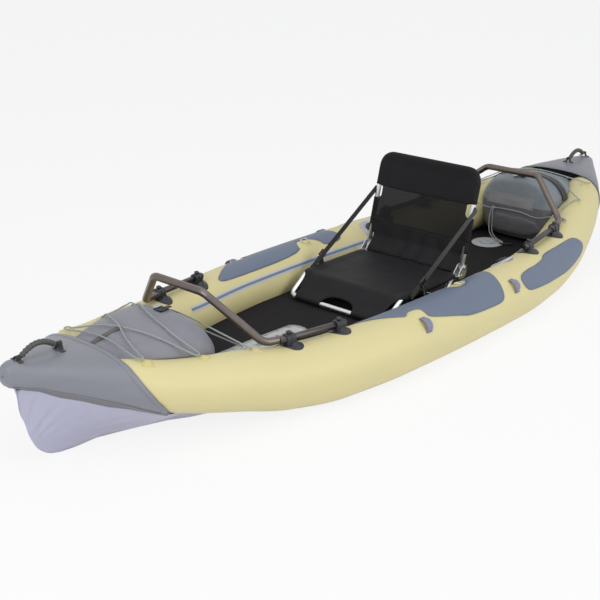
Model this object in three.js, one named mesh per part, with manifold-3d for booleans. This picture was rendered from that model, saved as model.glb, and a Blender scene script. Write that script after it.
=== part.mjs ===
// Inflatable fishing kayak with a folding seat, two accessory frames and two lashed gear bags.
// Millimetres. Bow towards -X, port side -Y, +Z up. The origin is on the ground, mid length, mid width.

import * as THREE from "three";
import { mergeVertices } from "three/addons/utils/BufferGeometryUtils.js";
import Module from "manifold-3d";

const wasm = await Module();
wasm.setup();

// Hull
const hullHalfLength = 1600;
const tubeRadius = 107;
const tubeSpacing = 383;
const endRise = 193.5;
const tubeSides = 16;
const seatGap = 0.3;
const cutOverrun = 6;
const bottomSkin = 2.5;
const coverSkin = 3;
const sleeveSkin = 2.3;
const patchSkin = 2.2;
const keelEdge = 4;
const keelRodRadius = 6;
const keelRodLift = 9;
const railSides = 10;
const seatBarSides = 8;

// Floor
const floorShare = 0.6625;
const floorHalfLength = floorShare * hullHalfLength;
const floorTop = 77;
const floorCoverSkin = 3;
const stripSkin = 2;
const stripFromShare = -0.58;
const stripToShare = -0.240625;
const stripFrom = stripFromShare * hullHalfLength;
const stripTo = stripToShare * hullHalfLength;
const stripPortEdge = -52;
const stripStarboardEdge = 48;
const stripBevel = 26;
const floorValveShare = 0.5375;
const floorValveX = floorValveShare * hullHalfLength;
const floorValveY = 52;
const floorValveRadius = 67;
const floorValveCapRadius = 30;
const floorValveSkin = 4;

// Fittings on the tubes
const valveShare = 0.245625;
const valveX = valveShare * hullHalfLength;
const valveAngle = -33;
const valveFlangeRadius = 45;
const valveCapRadius = 23;
const valveFlangeHeight = 5;
const valveFlangeEdge = 1;
const valveCapHeight = 9;
const loopWidth = 28;
const loopSkin = 2.6;
const loopRise = 14;
const ringShare = 0.025;
const ringX = ringShare * hullHalfLength;
const ringAngle = -16;
const ringWire = 2;
const ringHalfWidth = 16;
const ringReach = 26;
const ringTabLength = 20;
const ringTabWidth = 16;
const ringTabHeight = 8;
const laceTabLength = 22;
const laceTabWidth = 26;
const laceTabHeight = 5;

// Accessory frames
const railRadius = 12.7;
const slideRadius = 11;
const railLift = 23;
const railBend = 52;
const crossBend = 46;
const slideOverlap = 60;
const slideFrom = 24;
const railOverhang = 28;
const clampPadRadius = 44;
const clampPadHeight = 7;
const clampPadDrop = 24;
const clampLength = 34;
const clampWall = 5;
const clampBoltRadius = 8;
const clampBoltHeight = 8;

// Places of the accessory frames: along the boat as shares of hullHalfLength, half widths of tubeSpacing
// and the height of the cross bar of endRise
const accessoryFrameShares = [
  { name: "front", end: -1, cross: 0.595, crossHalf: 0.2872, crossHeight: 2.031, bend: 0.53625,
    bendHalf: 0.7102, near: 0.484375, nearHalf: 0.7807, far: 0.358125, farHalf: 0.8564 },
  { name: "rear", end: 1, cross: 0.5875, crossHalf: 0.3264, crossHeight: 2.0052, bend: 0.53,
    bendHalf: 0.7572, near: 0.474375, nearHalf: 0.8277, far: 0.328125, farHalf: 0.9034 },
];
const accessoryFrames = accessoryFrameShares.map((shares) => ({
  name: shares.name,
  end: shares.end,
  cross: shares.cross * hullHalfLength,
  crossHalf: shares.crossHalf * tubeSpacing,
  crossHeight: shares.crossHeight * endRise,
  bend: shares.bend * hullHalfLength,
  bendHalf: shares.bendHalf * tubeSpacing,
  near: shares.near * hullHalfLength,
  nearHalf: shares.nearHalf * tubeSpacing,
  far: shares.far * hullHalfLength,
  farHalf: shares.farHalf * tubeSpacing,
}));

// Carrying handles
const gripRadius = 9;
const gripCoreRadius = 4;
const gripRise = 24;
const gripReach = 58;
const coreReach = 74;
const handleShare = 0.92375;
const handleX = handleShare * hullHalfLength;
const handleEyeLength = 12;
const handleEyeWidth = 20;
const handleEyeTop = 9;
const handleEyeDrop = 21.6;
const handleEyeOverhang = 2;
const bowHandleHeight = 337;
const sternHandleHeight = 357;

// Seat
const seatTubeRadius = 9.5;
const seatHalfWidth = 222.5;
const seatFront = -197;
const seatKnee = -105;
const seatRear = 262;
const seatRailHeight = 160;
const seatHingeHeight = 186;
const seatTopX = 353;
const seatTopHeight = 535;
const seatBend = 55;
const seatPanBend = 30;
const seatLegTop = 200;
const seatLegFoot = 150;
const seatTail = 12;
const plateSkin = 3;
const plateGap = 0.5;
const plateHalfLength = 17;
const plateRise = 12;
const boltRadius = 4;
const boltHeadRadius = 8;
const boltHeadHeight = 4;
const slingSkin = 2.4;
const slingLift = 6;
const backSlingFrom = 52;
const backNotchFrom = 188;
const backNotchTo = 238;
const strapSkin = 2;
const strapWidth = 24;
const strapReach = 216.5;
const strapFootX = -60;
const strapFootRise = 3;
const strapStudRadius = 4;

// Gear bags
const bagStrapWidth = 38;
const bagStrapSkin = 2.2;
const bagStrapShare = 0.67375;
const bagStrapAt = bagStrapShare * hullHalfLength;
const cordRadius = 2.5;
const hookRadius = 3;

// Shares of hullHalfLength where the tubes are set out, and the tube there at each end of the boat
const stationShares = [0, 0.22, 0.375, 0.5, 0.594, 0.6875, 0.7625, 0.8375, 0.9, 0.95];
const bowShares = {
  spacing: [1, 0.975, 0.9, 0.8, 0.695, 0.58, 0.48, 0.305, 0.145, 0.02],
  rise: [0, 0, 0, 0.065, 0.205, 0.33, 0.475, 0.67, 0.845, 1],
  radius: [1, 1, 1, 0.935, 0.865, 0.775, 0.69, 0.625, 0.565, 0.52],
};
const sternShares = {
  spacing: [1, 0.985, 0.9, 0.8, 0.695, 0.575, 0.455, 0.29, 0.135, 0.02],
  rise: [0, 0, 0.005, 0.09, 0.225, 0.405, 0.575, 0.755, 0.9, 1],
  radius: [1, 1, 1, 0.963, 0.907, 0.835, 0.755, 0.665, 0.58, 0.515],
};
const tubeRingShares = [0.84, 0.8, 0.7625, 0.7, 0.64, 0.57, 0.48, 0.36, 0.2];

// Where the inflated tubes end inside the covers, as shares of hullHalfLength and of the radius
const tubeEndShares = [0.8725, 0.8825, 0.8925, 0.898];
const tubeEndRadiusShares = [1, 0.9, 0.7, 0.45];

// Bottom skin: places are shares of hullHalfLength, heights of endRise, half widths of tubeSpacing
const rimAngle = 11;
const rimFromShare = 0.6875;
const rimShares = {
  at: [0.759, 0.775, 0.82, 0.8525, 0.8925, 0.922, 0.95, 0.975, 1],
  half: [0.574, 0.522, 0.47, 0.392, 0.313, 0.209, 0.13, 0.052, 0.03],
  height: [0.5685, 0.62, 0.791, 0.873, 1.034, 1.111, 1.24, 1.292, 1.38],
};
const keelShares = {
  at: [0.85, 0.889, 0.914, 0.938, 0.956, 0.964, 0.972, 0.9744],
  height: [0, 0.02, 0.062, 0.186, 0.46, 0.713, 0.894, 1.25],
};
const flatShares = {
  at: [0.375, 0.5, 0.6, 0.6375, 0.675, 0.7375, 0.819],
  half: [0.82, 0.653, 0.347, 0.287, 0.196, 0.104, 0],
};
const skinShares = [0.375, 0.5, 0.6, 0.6375, 0.6875, 0.7375, 0.775, 0.82, 0.8525, 0.8925];
const stemShares = [0.914, 0.93, 0.942, 0.95, 0.956, 0.964, 0.972, 0.975];
const middleShares = [-0.375, -0.22, 0, 0.22, 0.375];
const rodShares = [0.7, 0.775, 0.8525, 0.889, 0.914, 0.93, 0.942, 0.95, 0.956, 0.964, 0.97];

// End covers: half width and crown along the boat, and the mouth that shows the tubes
const coverShares = {
  at: [0.74, 0.772, 0.8125, 0.85, 0.8875, 0.925, 0.956, 0.981, 0.992, 1],
  half: [0.744, 0.684, 0.574, 0.483, 0.368, 0.261, 0.175, 0.104, 0.075, 0.0366],
  bowTop: [1.42, 1.5, 1.59, 1.62, 1.64, 1.654, 1.67, 1.73, 1.71, 1.55],
  sternTop: [1.51, 1.59, 1.69, 1.735, 1.76, 1.77, 1.775, 1.76, 1.72, 1.58],
};
const coverWaistShare = 0.92;
const coverHollowShare = 0.966;
const coverHollowFromShare = 0.72;
const coverSideBulgeShare = 0.45;
const coverCrownPower = 2.5;
const mouthShares = {
  at: [0.8157, 0.8157, 0.775, 0.753, 0.753],
  height: [3, 1.204, 0.7545, 0.517, -0.1],
};

// Rub patches on the tubes: shares of hullHalfLength, and degrees outboard from the top
const frontPatchShares = [
  -0.3125, -0.275, -0.236, -0.203, -0.19, -0.151, -0.152, -0.147, -0.0625, -0.031, 0.079, 0.099,
  0.106, 0.119, 0.1375, 0.131, 0.066, 0.0625, 0.041, 0.0125, -0.006, -0.019, -0.275,
];
const frontPatchDegrees = [
  -28, -10, 6, 21, 9, 11, 31, 39, 58, 66, 70, 65, 51, 19, -14, -38, -38, -20, -3, 2, -8, -38, -38,
];
const rearPatchShares = [0.1875, 0.1889, 0.245, 0.374, 0.5, 0.54, 0.52, 0.4875, 0.3375, 0.3125];
const rearPatchDegrees = [32, 71, 77, 85, 87, 75, 48, 34, 22, 34];
const loopPlaces = [
  { name: "front", share: -0.172, from: 33, to: 63 },
  { name: "rear", share: 0.153, from: 36, to: 65 },
];
const loopArchShares = [0, 0.06, 0.16, 0.3, 0.5, 0.7, 0.84, 0.94, 1];
const loopLiftShares = [0, 0, 0.55, 0.9, 1, 0.9, 0.55, 0, 0];

// Lacing tabs along the tubes, shares of hullHalfLength and degrees outboard from the top
const laceTabs = [
  { share: -0.784, angle: 8 }, { share: -0.675, angle: -2 }, { share: -0.572, angle: -8 },
  { share: 0.549, angle: -10 }, { share: 0.6725, angle: 5 }, { share: 0.7775, angle: 12 },
];

// Bags: places are shares of hullHalfLength, half widths of tubeSpacing, bottoms and tops of endRise
const bowBagShares = {
  at: [0.5825, 0.588, 0.6, 0.625, 0.65, 0.6875, 0.7375, 0.785, 0.8125],
  half: [0.3, 0.37, 0.43, 0.49, 0.51, 0.5, 0.44, 0.36, 0.3],
  bottom: [0.5, 0.44, 0.425, 0.425, 0.43, 0.5, 0.62, 0.78, 0.9],
  top: [1.28, 1.42, 1.55, 1.67, 1.71, 1.71, 1.67, 1.61, 1.55],
};
const sternBagShares = {
  at: [0.6013, 0.61, 0.625, 0.645, 0.67, 0.7, 0.74, 0.78, 0.8125],
  half: [0.34, 0.41, 0.46, 0.49, 0.49, 0.45, 0.38, 0.3, 0.24],
  bottom: [0.55, 0.45, 0.425, 0.425, 0.46, 0.56, 0.75, 0.95, 1.1],
  top: [0.98, 1.35, 1.74, 1.82, 1.85, 1.82, 1.74, 1.65, 1.57],
};
// Elastic cords over the bags, point by point, and the loop that hangs down to the hook
const bowCordRoute = [
  [-660, 17, 86], [-800, 58, 178], [-939, 100, 269], [-925, 180, 258], [-905, 256, 244], [-906, 265, 243],
  [-910, 271, 243], [-920, 271, 243], [-924, 265, 243], [-926, 256, 244], [-1025, 105, 323],
  [-1042, 78, 331],
  [-1073, 15, 336], [-1096, -51, 333], [-1105, -104, 325], [-1104, -146, 309], [-1071, -210, 262],
  [-1072, -217, 261], [-1076, -222, 260], [-1084, -222, 260], [-1088, -217, 261], [-1090, -210, 262],
  [-1143, -138, 306], [-1166, -94, 320], [-1184, -35, 326], [-1204, 38, 323], [-1222, 83, 314],
  [-1244, 158, 291],
  [-1245, 169, 292], [-1249, 176, 292], [-1259, 176, 292], [-1263, 169, 292], [-1264, 158, 291],
  [-1262, 73, 308],
  [-1261, 29, 314], [-1260, -37, 314], [-1261, -75, 308], [-1264, -158, 291], [-1263, -169, 292],
  [-1259, -176, 292], [-1249, -176, 292], [-1245, -169, 292], [-1244, -158, 291], [-1228, -78, 313],
  [-1205, -28, 324], [-1194, -2, 333], [-1175, 42, 328], [-1151, 97, 322], [-1130, 140, 309],
  [-1090, 210, 262],
  [-1087, 219, 262], [-1078, 226, 261], [-1060, 232, 258], [-1000, 256, 249], [-945, 284, 243],
  [-925, 287, 243],
  [-915, 280, 250], [-914, 270, 250], [-915, 258, 248], [-935, 175, 266], [-954, 87, 290], [-956, 39, 301],
  [-954, -49, 297], [-915, -262, 244], [-915, -275, 243],
];
const sternCordRoute = [
  [878, 305, 245], [886, 298, 245], [902, 266, 246], [925, 213, 236], [962, 120, 200], [962, 97, 207],
  [962, 30, 211],
  [962, -43, 212], [962, -118, 196], [925, -213, 236], [902, -266, 246], [886, -296, 245],
  [882, -301, 245], [872, -300, 244],
  [880, -278, 245], [915, -242, 250], [945, -228, 250], [1000, -218, 260], [1045, -224, 274],
  [1066, -241, 282], [1072, -250, 279],
  [1082, -250, 279], [1086, -240, 280], [1115, -134, 330], [1129, -92, 345], [1148, -35, 350],
  [1174, 36, 343],
  [1234, 184, 313], [1236, 196, 312], [1230, 204, 310], [1160, 232, 291], [1098, 250, 280],
  [1086, 250, 278],
  [1080, 244, 278], [1082, 236, 278], [1114, 134, 330], [1126, 93, 346], [1145, 32, 355], [1173, -36, 350],
  [1234, -184, 313], [1242, -204, 311],
];
const hookLoopRoute = [
  [957, 99, 203], [952, 107, 180], [947, 106, 140], [938, 96, 104], [920, 70, 89], [892, 28, 89],
  [868, -4, 89],
  [873, -11, 89], [899, 21, 89], [930, 66, 90], [948, 90, 106], [956, 95, 140], [957, 96, 180],
];
const hookRoute = [
  [868, -5, 89], [876, -18, 87], [886, -30, 84.5], [898, -42, 84.5], [906, -42, 84.5], [904, -34, 84.5],
];
const bagCornerPower = 2.6;
const bagSides = 20;

const group = new THREE.Group();

function finish(colour, roughness, metalness = 0) {
  return new THREE.MeshStandardMaterial({ color: colour, roughness, metalness });
}
const yellowFabric = finish(0xdcd294, 0.6);
const slateFabric = finish(0x70809a, 0.6);
const greyFabric = finish(0x8c8f98, 0.65);
const lavenderFabric = finish(0xb0aec6, 0.55);
const blackFabric = finish(0x232327, 0.85);
const greyBagFabric = finish(0xa19fa4, 0.7);
const tealBagFabric = finish(0x7f8a8d, 0.7);
const blackWebbing = finish(0x17181a, 0.8);
const lilacWebbing = finish(0x8f93b5, 0.7);
const paleStrip = finish(0xc8cbc8, 0.6);
const anodised = finish(0x6b625f, 0.35, 0.9);
const bareAluminium = finish(0xd8dadd, 0.3, 1);
const blackRubber = finish(0x16181f, 0.6);
const greyPlastic = finish(0xb9bcc2, 0.5);
const oliveGrip = finish(0x4d5048, 0.6);
const elasticCord = finish(0xaeb4b2, 0.8);

// Closed mesh to solid, and solid to named piece
function toSolid(geometry) {
  const bare = new THREE.BufferGeometry();
  bare.setAttribute("position", geometry.getAttribute("position"));
  bare.setIndex(geometry.getIndex());
  const merged = mergeVertices(bare, 1e-4);
  const vertProperties = new Float32Array(merged.getAttribute("position").array);
  const triVerts = new Uint32Array(merged.getIndex().array);
  let volume = 0;
  const corner = (k) => new THREE.Vector3().fromArray(vertProperties, triVerts[k] * 3);
  for (let k = 0; k < triVerts.length; k += 3) {
    volume += corner(k).dot(corner(k + 1).cross(corner(k + 2)));
  }
  if (volume < 0) {
    for (let k = 0; k < triVerts.length; k += 3) {
      [triVerts[k], triVerts[k + 1]] = [triVerts[k + 1], triVerts[k]];
    }
  }
  return new wasm.Manifold(new wasm.Mesh({ numProp: 3, vertProperties, triVerts }));
}

function add(name, solid, material) {
  const mesh = solid.getMesh();
  const geometry = new THREE.BufferGeometry();
  geometry.setAttribute("position", new THREE.BufferAttribute(new Float32Array(mesh.vertProperties), 3));
  geometry.setIndex(new THREE.BufferAttribute(new Uint32Array(mesh.triVerts), 1));
  geometry.computeVertexNormals();
  const piece = new THREE.Mesh(geometry, material);
  piece.name = name;
  group.add(piece);
}

// Triangles of a flat ring, laid out in the ring's own plane
function closing(ring) {
  const normal = new THREE.Vector3();
  ring.forEach((p, k) => normal.add(new THREE.Vector3().crossVectors(p, ring[(k + 1) % ring.length])));
  normal.normalize();
  const guide = Math.abs(normal.x) < 0.6 ? new THREE.Vector3(1, 0, 0) : new THREE.Vector3(0, 1, 0);
  const side = new THREE.Vector3().crossVectors(guide, normal).normalize();
  const up = new THREE.Vector3().crossVectors(normal, side);
  const flat = ring.map((p) => new THREE.Vector2(p.dot(side), p.dot(up)));
  return THREE.ShapeUtils.triangulateShape(flat, []);
}

// Rings of equal count joined into one closed solid, or into an endless one
function loft(rings, endless = false) {
  const count = rings[0].length;
  const positions = rings.flat().flatMap((p) => [p.x, p.y, p.z]);
  const faces = [];
  const joins = endless ? rings.length : rings.length - 1;
  for (let ring = 0; ring < joins; ring += 1) {
    const next = (ring + 1) % rings.length;
    for (let k = 0; k < count; k += 1) {
      const a = ring * count + k;
      const b = ring * count + ((k + 1) % count);
      const c = next * count + ((k + 1) % count);
      const d = next * count + k;
      faces.push(a, b, c, a, c, d);
    }
  }
  if (!endless) {
    const start = (rings.length - 1) * count;
    closing(rings[0]).forEach(([a, b, c]) => faces.push(c, b, a));
    closing(rings[rings.length - 1]).forEach(([a, b, c]) => faces.push(start + a, start + b, start + c));
  }
  const geometry = new THREE.BufferGeometry();
  geometry.setAttribute("position", new THREE.Float32BufferAttribute(positions, 3));
  geometry.setIndex(faces);
  return toSolid(geometry);
}

// Round bar through a list of stops, mitred at the bends
function bar(stops, radius, sides, endless = false) {
  const last = stops.length - 1;
  let side = null;
  const rings = stops.map((stop, k) => {
    const back = endless ? stops[(k + last) % stops.length] : stops[Math.max(k - 1, 0)];
    const ahead = endless ? stops[(k + 1) % stops.length] : stops[Math.min(k + 1, last)];
    const heading = stop.clone().sub(back).normalize().add(ahead.clone().sub(stop).normalize()).normalize();
    if (!side) {
      const guide = Math.abs(heading.z) < 0.9 ? new THREE.Vector3(0, 0, 1) : new THREE.Vector3(1, 0, 0);
      side = new THREE.Vector3().crossVectors(heading, guide).normalize();
    }
    side.addScaledVector(heading, -side.dot(heading)).normalize();
    const up = new THREE.Vector3().crossVectors(heading, side);
    const ring = [];
    for (let n = 0; n < sides; n += 1) {
      const angle = (2 * Math.PI * n) / sides;
      const point = stop.clone().addScaledVector(side, radius * Math.cos(angle));
      ring.push(point.addScaledVector(up, radius * Math.sin(angle)));
    }
    return ring;
  });
  return loft(rings, endless);
}

// Radius of a hole with flat sides in which a bar or disc of that radius turns freely
function turningSpace(radius, holeSides) {
  return (radius + seatGap) / Math.cos(Math.PI / holeSides);
}

// Stops along straight runs joined by round bends
function bent(points, bend, bendSteps = 4) {
  const corners = points.map((p) => new THREE.Vector3(...p));
  const stops = [corners[0]];
  for (let k = 1; k + 1 < corners.length; k += 1) {
    const before = corners[k].clone().sub(corners[k - 1]).normalize();
    const after = corners[k + 1].clone().sub(corners[k]).normalize();
    const cut = bend * Math.tan(before.angleTo(after) / 2);
    const start = corners[k].clone().addScaledVector(before, -cut);
    const end = corners[k].clone().addScaledVector(after, cut);
    stops.push(...new THREE.QuadraticBezierCurve3(start, corners[k], end).getPoints(bendSteps));
  }
  stops.push(corners[corners.length - 1]);
  return stops;
}

function polygon(points) {
  return new THREE.Shape(points.map(([a, b]) => new THREE.Vector2(a, b)));
}

// Outline in X and Y raised from one height to another
function raised(points, low, high) {
  const geometry = new THREE.ExtrudeGeometry(polygon(points), { depth: high - low, bevelEnabled: false });
  return toSolid(geometry.translate(0, 0, low));
}

// Outline in X and Z carried across from one Y to another
function across(points, from, to) {
  const geometry = new THREE.ExtrudeGeometry(polygon(points), { depth: to - from, bevelEnabled: false });
  return toSolid(geometry.rotateX(Math.PI / 2).translate(0, to, 0));
}

function box(from, to) {
  const outline = [[from[0], from[1]], [to[0], from[1]], [to[0], to[1]], [from[0], to[1]]];
  return raised(outline, from[2], to[2]);
}

// Shape turned about an upright axis through the origin
function turned(profile, segments) {
  const outline = profile.map(([r, z]) => new THREE.Vector2(r, z));
  return toSolid(new THREE.LatheGeometry(outline, segments).rotateX(Math.PI / 2));
}

// Upright piece stood on a point, its own Z along the normal and its own X along the heading
function stood(solid, point, normal, heading) {
  const aside = new THREE.Vector3().crossVectors(normal, heading).normalize();
  const ahead = new THREE.Vector3().crossVectors(aside, normal).normalize();
  return solid.transform(new THREE.Matrix4().makeBasis(ahead, aside, normal).setPosition(point).elements);
}

// Straight lines through a table of places and values
function linear(places, values, place) {
  if (place <= places[0]) {
    return values[0];
  }
  for (let k = 1; k < places.length; k += 1) {
    if (place <= places[k]) {
      const t = (place - places[k - 1]) / (places[k] - places[k - 1]);
      return values[k - 1] * (1 - t) + values[k] * t;
    }
  }
  return values[values.length - 1];
}

// Cubic through a table, with no overshoot, and straight on past its end
function smooth(places, values, place) {
  const last = places.length - 1;
  const slope = (n) => (values[n + 1] - values[n]) / (places[n + 1] - places[n]);
  if (place >= places[last]) {
    return values[last] + slope(last - 1) * (place - places[last]);
  }
  let k = 0;
  while (place > places[k + 1]) {
    k += 1;
  }
  const tangent = (n) => {
    if (n === 0) {
      return 0;
    }
    if (n === last) {
      return slope(last - 1);
    }
    const before = slope(n - 1);
    const after = slope(n);
    return before * after <= 0 ? 0 : (2 * before * after) / (before + after);
  };
  const width = places[k + 1] - places[k];
  const t = (place - places[k]) / width;
  const low = values[k] * (1 + 2 * t) * (1 - t) ** 2 + tangent(k) * width * t * (1 - t) ** 2;
  const high = values[k + 1] * t * t * (3 - 2 * t) + tangent(k + 1) * width * t * t * (t - 1);
  return low + high;
}

// Centre and radius of a side tube at a place along the boat
function tubeAt(x) {
  const shares = x < 0 ? bowShares : sternShares;
  const share = Math.abs(x) / hullHalfLength;
  return {
    y: tubeSpacing * smooth(stationShares, shares.spacing, share),
    z: tubeRadius + endRise * smooth(stationShares, shares.rise, share),
    r: tubeRadius * smooth(stationShares, shares.radius, share),
  };
}

// Point on a side tube's skin: side is -1 for port, the angle is in degrees outboard from the top
function onTube(side, x, degrees, lift = 0) {
  const here = tubeAt(x);
  const step = tubeRadius / 50;
  const ahead = tubeAt(x + step);
  const behind = tubeAt(x - step);
  const heading = new THREE.Vector3(2 * step, side * (ahead.y - behind.y), ahead.z - behind.z).normalize();
  const outboard = new THREE.Vector3(-heading.y, heading.x, 0).normalize().multiplyScalar(side);
  const up = new THREE.Vector3().crossVectors(heading, outboard).multiplyScalar(side);
  const angle = THREE.MathUtils.degToRad(degrees);
  const normal = outboard.multiplyScalar(Math.sin(angle)).addScaledVector(up, Math.cos(angle)).normalize();
  const point = new THREE.Vector3(x, side * here.y, here.z).addScaledVector(normal, here.r + lift);
  return { point, normal, heading };
}

// Inflated side tube, or the space round it when lift is above zero
function sideTube(side, lift) {
  const places = [];
  for (let k = tubeEndShares.length - 1; k >= 0; k -= 1) {
    places.push([-tubeEndShares[k], tubeEndRadiusShares[k]]);
  }
  tubeRingShares.forEach((share) => places.push([-share, 1]));
  places.push([0, 1]);
  tubeRingShares.slice().reverse().forEach((share) => places.push([share, 1]));
  tubeEndShares.forEach((share, k) => places.push([share, tubeEndRadiusShares[k]]));
  const rings = places.map(([share, shrink], index) => {
    const outermost = index === 0 || index === places.length - 1;
    const x = share * hullHalfLength;
    const shift = outermost ? Math.sign(share) * lift : 0;
    const radius = tubeAt(x).r * shrink + lift;
    const ring = [];
    for (let k = 0; k < tubeSides; k += 1) {
      const spot = onTube(side, x, (360 * k) / tubeSides, -tubeAt(x).r);
      spot.point.addScaledVector(spot.normal, radius);
      spot.point.x += shift;
      ring.push(spot.point);
    }
    return ring;
  });
  return loft(rings);
}
const tubeSpaces = [sideTube(-1, seatGap), sideTube(1, seatGap)];

function clearOfTubes(solid) {
  return solid.subtract(tubeSpaces[0]).subtract(tubeSpaces[1]);
}

// Block welded to a tube's skin, half sunk in it
function tabOn(side, x, degrees, length, width, height) {
  const block = box([-length / 2, -width / 2, -height], [length / 2, width / 2, height]);
  const { point, normal, heading } = onTube(side, x, degrees);
  return stood(block, point, normal, heading);
}

// D-ring lying on the tube, its straight bar along the tube inside its tab
function dRing(side) {
  const outline = bent([
    [0, 0, 0], [ringHalfWidth, 0, 0], [ringHalfWidth, ringReach, 0], [-ringHalfWidth, ringReach, 0],
    [-ringHalfWidth, 0, 0], [0, 0, 0],
  ], ringHalfWidth / 2, 3);
  const { point, normal, heading } = onTube(side, ringX, ringAngle, ringTabHeight / 2);
  const aside = new THREE.Vector3().crossVectors(normal, heading).normalize();
  const outboard = aside.multiplyScalar(Math.sign(aside.y * side));
  const place = new THREE.Matrix4().makeBasis(heading, outboard, normal).setPosition(point);
  return bar(outline.slice(1, -1).map((stop) => stop.applyMatrix4(place)), ringWire, 6, true);
}

function taggedTube(side) {
  let tube = sideTube(side, 0);
  laceTabs.forEach(({ share, angle }) => {
    const x = share * hullHalfLength;
    tube = tube.add(tabOn(side, x, angle, laceTabLength, laceTabWidth, laceTabHeight));
  });
  const ringTab = tabOn(side, ringX, ringAngle, ringTabLength, ringTabWidth, ringTabHeight);
  const { point, heading } = onTube(side, ringX, ringAngle, ringTabHeight / 2);
  const ends = [-1, 1].map((way) => point.clone().addScaledVector(heading, way * ringHalfWidth));
  return tube.add(ringTab).subtract(bar(ends, turningSpace(ringWire, 8), 8));
}

// Bottom skin in section: rim at the tubes or the cover, then the flat and the keel, set in by an inset
function bottomRim(x) {
  const share = Math.abs(x) / hullHalfLength;
  const underTube = (place) => {
    const tube = tubeAt(place * hullHalfLength * Math.sign(x || 1));
    const angle = THREE.MathUtils.degToRad(rimAngle);
    return [tube.y - tube.r * Math.sin(angle), tube.z - tube.r * Math.cos(angle)];
  };
  if (share <= rimFromShare) {
    return underTube(share);
  }
  const [half, height] = underTube(rimFromShare);
  const places = [rimFromShare, ...rimShares.at];
  return [
    linear(places, [half, ...rimShares.half.map((s) => s * tubeSpacing)], share),
    linear(places, [height, ...rimShares.height.map((s) => s * endRise)], share),
  ];
}

function bottomRing(x, inset, shift = 0) {
  const share = Math.abs(x) / hullHalfLength;
  const [rimHalf, rimHeight] = bottomRim(x);
  const keel = endRise * linear(keelShares.at, keelShares.height, share);
  const flat = Math.max(keelEdge, tubeSpacing * linear(flatShares.at, flatShares.half, share));
  const slope = Math.atan2(rimHeight - keel, rimHalf - flat);
  const least = keelEdge / 4;
  const half = Math.max(flat - inset * Math.tan(slope / 2), least);
  const ridge = keel + inset / Math.cos(slope) - (flat - least) * Math.tan(slope);
  const base = half > least ? keel + inset : ridge;
  const reach = inset > 0 ? 2 * cutOverrun : 0;
  const outer = rimHalf - inset * Math.sin(slope) + reach * Math.cos(slope);
  const outerHeight = rimHeight + inset * Math.cos(slope) + reach * Math.sin(slope);
  const top = inset > 0 ? outerHeight + 3 * tubeRadius : rimHeight + bottomSkin - inset;
  const starboard = [[outer, top], [outer, outerHeight], [half, base]];
  const port = starboard.map(([y, z]) => [-y, z]).reverse();
  return [...starboard, ...port].map(([y, z]) => new THREE.Vector3(x + shift, y, z));
}

function bottomLoft(shares, end, inset) {
  const rings = shares.map((share) => {
    const shift = stemShares.includes(share) ? -end * inset : 0;
    return bottomRing(end * share * hullHalfLength, inset, shift);
  });
  return loft(end < 0 ? rings.reverse() : rings);
}

function slabAcross(from, to) {
  const wide = tubeSpacing + 2 * tubeRadius;
  return box([from, -wide, -wide], [to, wide, wide]);
}

// Keel skin at one end, open on top: its rim runs under the tubes and then along the cover
function keelSkin(end) {
  const shares = [...skinShares, ...stemShares];
  const joint = end * skinShares[0] * hullHalfLength;
  const outer = bottomLoft(shares, end, 0);
  const inner = bottomLoft([skinShares[0] / 2, ...shares], end, bottomSkin);
  return clearOfTubes(outer.subtract(inner)).subtract(slabAcross(joint - seatGap / 2, joint + seatGap / 2));
}

function middleSkin() {
  const half = skinShares[0] * hullHalfLength - seatGap / 2;
  const inside = [-skinShares[1], ...middleShares, skinShares[1]];
  const outer = loft(middleShares.map((share) => bottomRing(share * hullHalfLength, 0)));
  const inner = loft(inside.map((share) => bottomRing(share * hullHalfLength, bottomSkin)));
  return clearOfTubes(outer.subtract(inner)).intersect(slabAcross(-half, half));
}

// Space inside the bottom skin where the floor lies
function wellSpace() {
  const half = skinShares.slice(0, 6);
  const shares = [...half.map((s) => -s).reverse(), ...middleShares.slice(1, -1), ...half];
  return loft(shares.map((share) => bottomRing(share * hullHalfLength, bottomSkin + seatGap)));
}

// Rod that stiffens the keel and the stem, shaped by the skin that it lies in
function keelRod(end, radius = keelRodRadius) {
  const stops = rodShares.map((share) => {
    const x = end * share * hullHalfLength;
    const rise = endRise * linear(keelShares.at, keelShares.height, share);
    const steep = share >= stemShares[0] ? 1.6 : 1;
    return new THREE.Vector3(x - end * keelRodLift * (steep - 1), 0, rise + bottomSkin + keelRodLift * steep);
  });
  const inside = bottomLoft([...skinShares.slice(3), ...stemShares], end, bottomSkin + seatGap);
  const rod = bar(stops, radius, 8);
  return radius > keelRodRadius ? rod : rod.intersect(inside);
}

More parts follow.
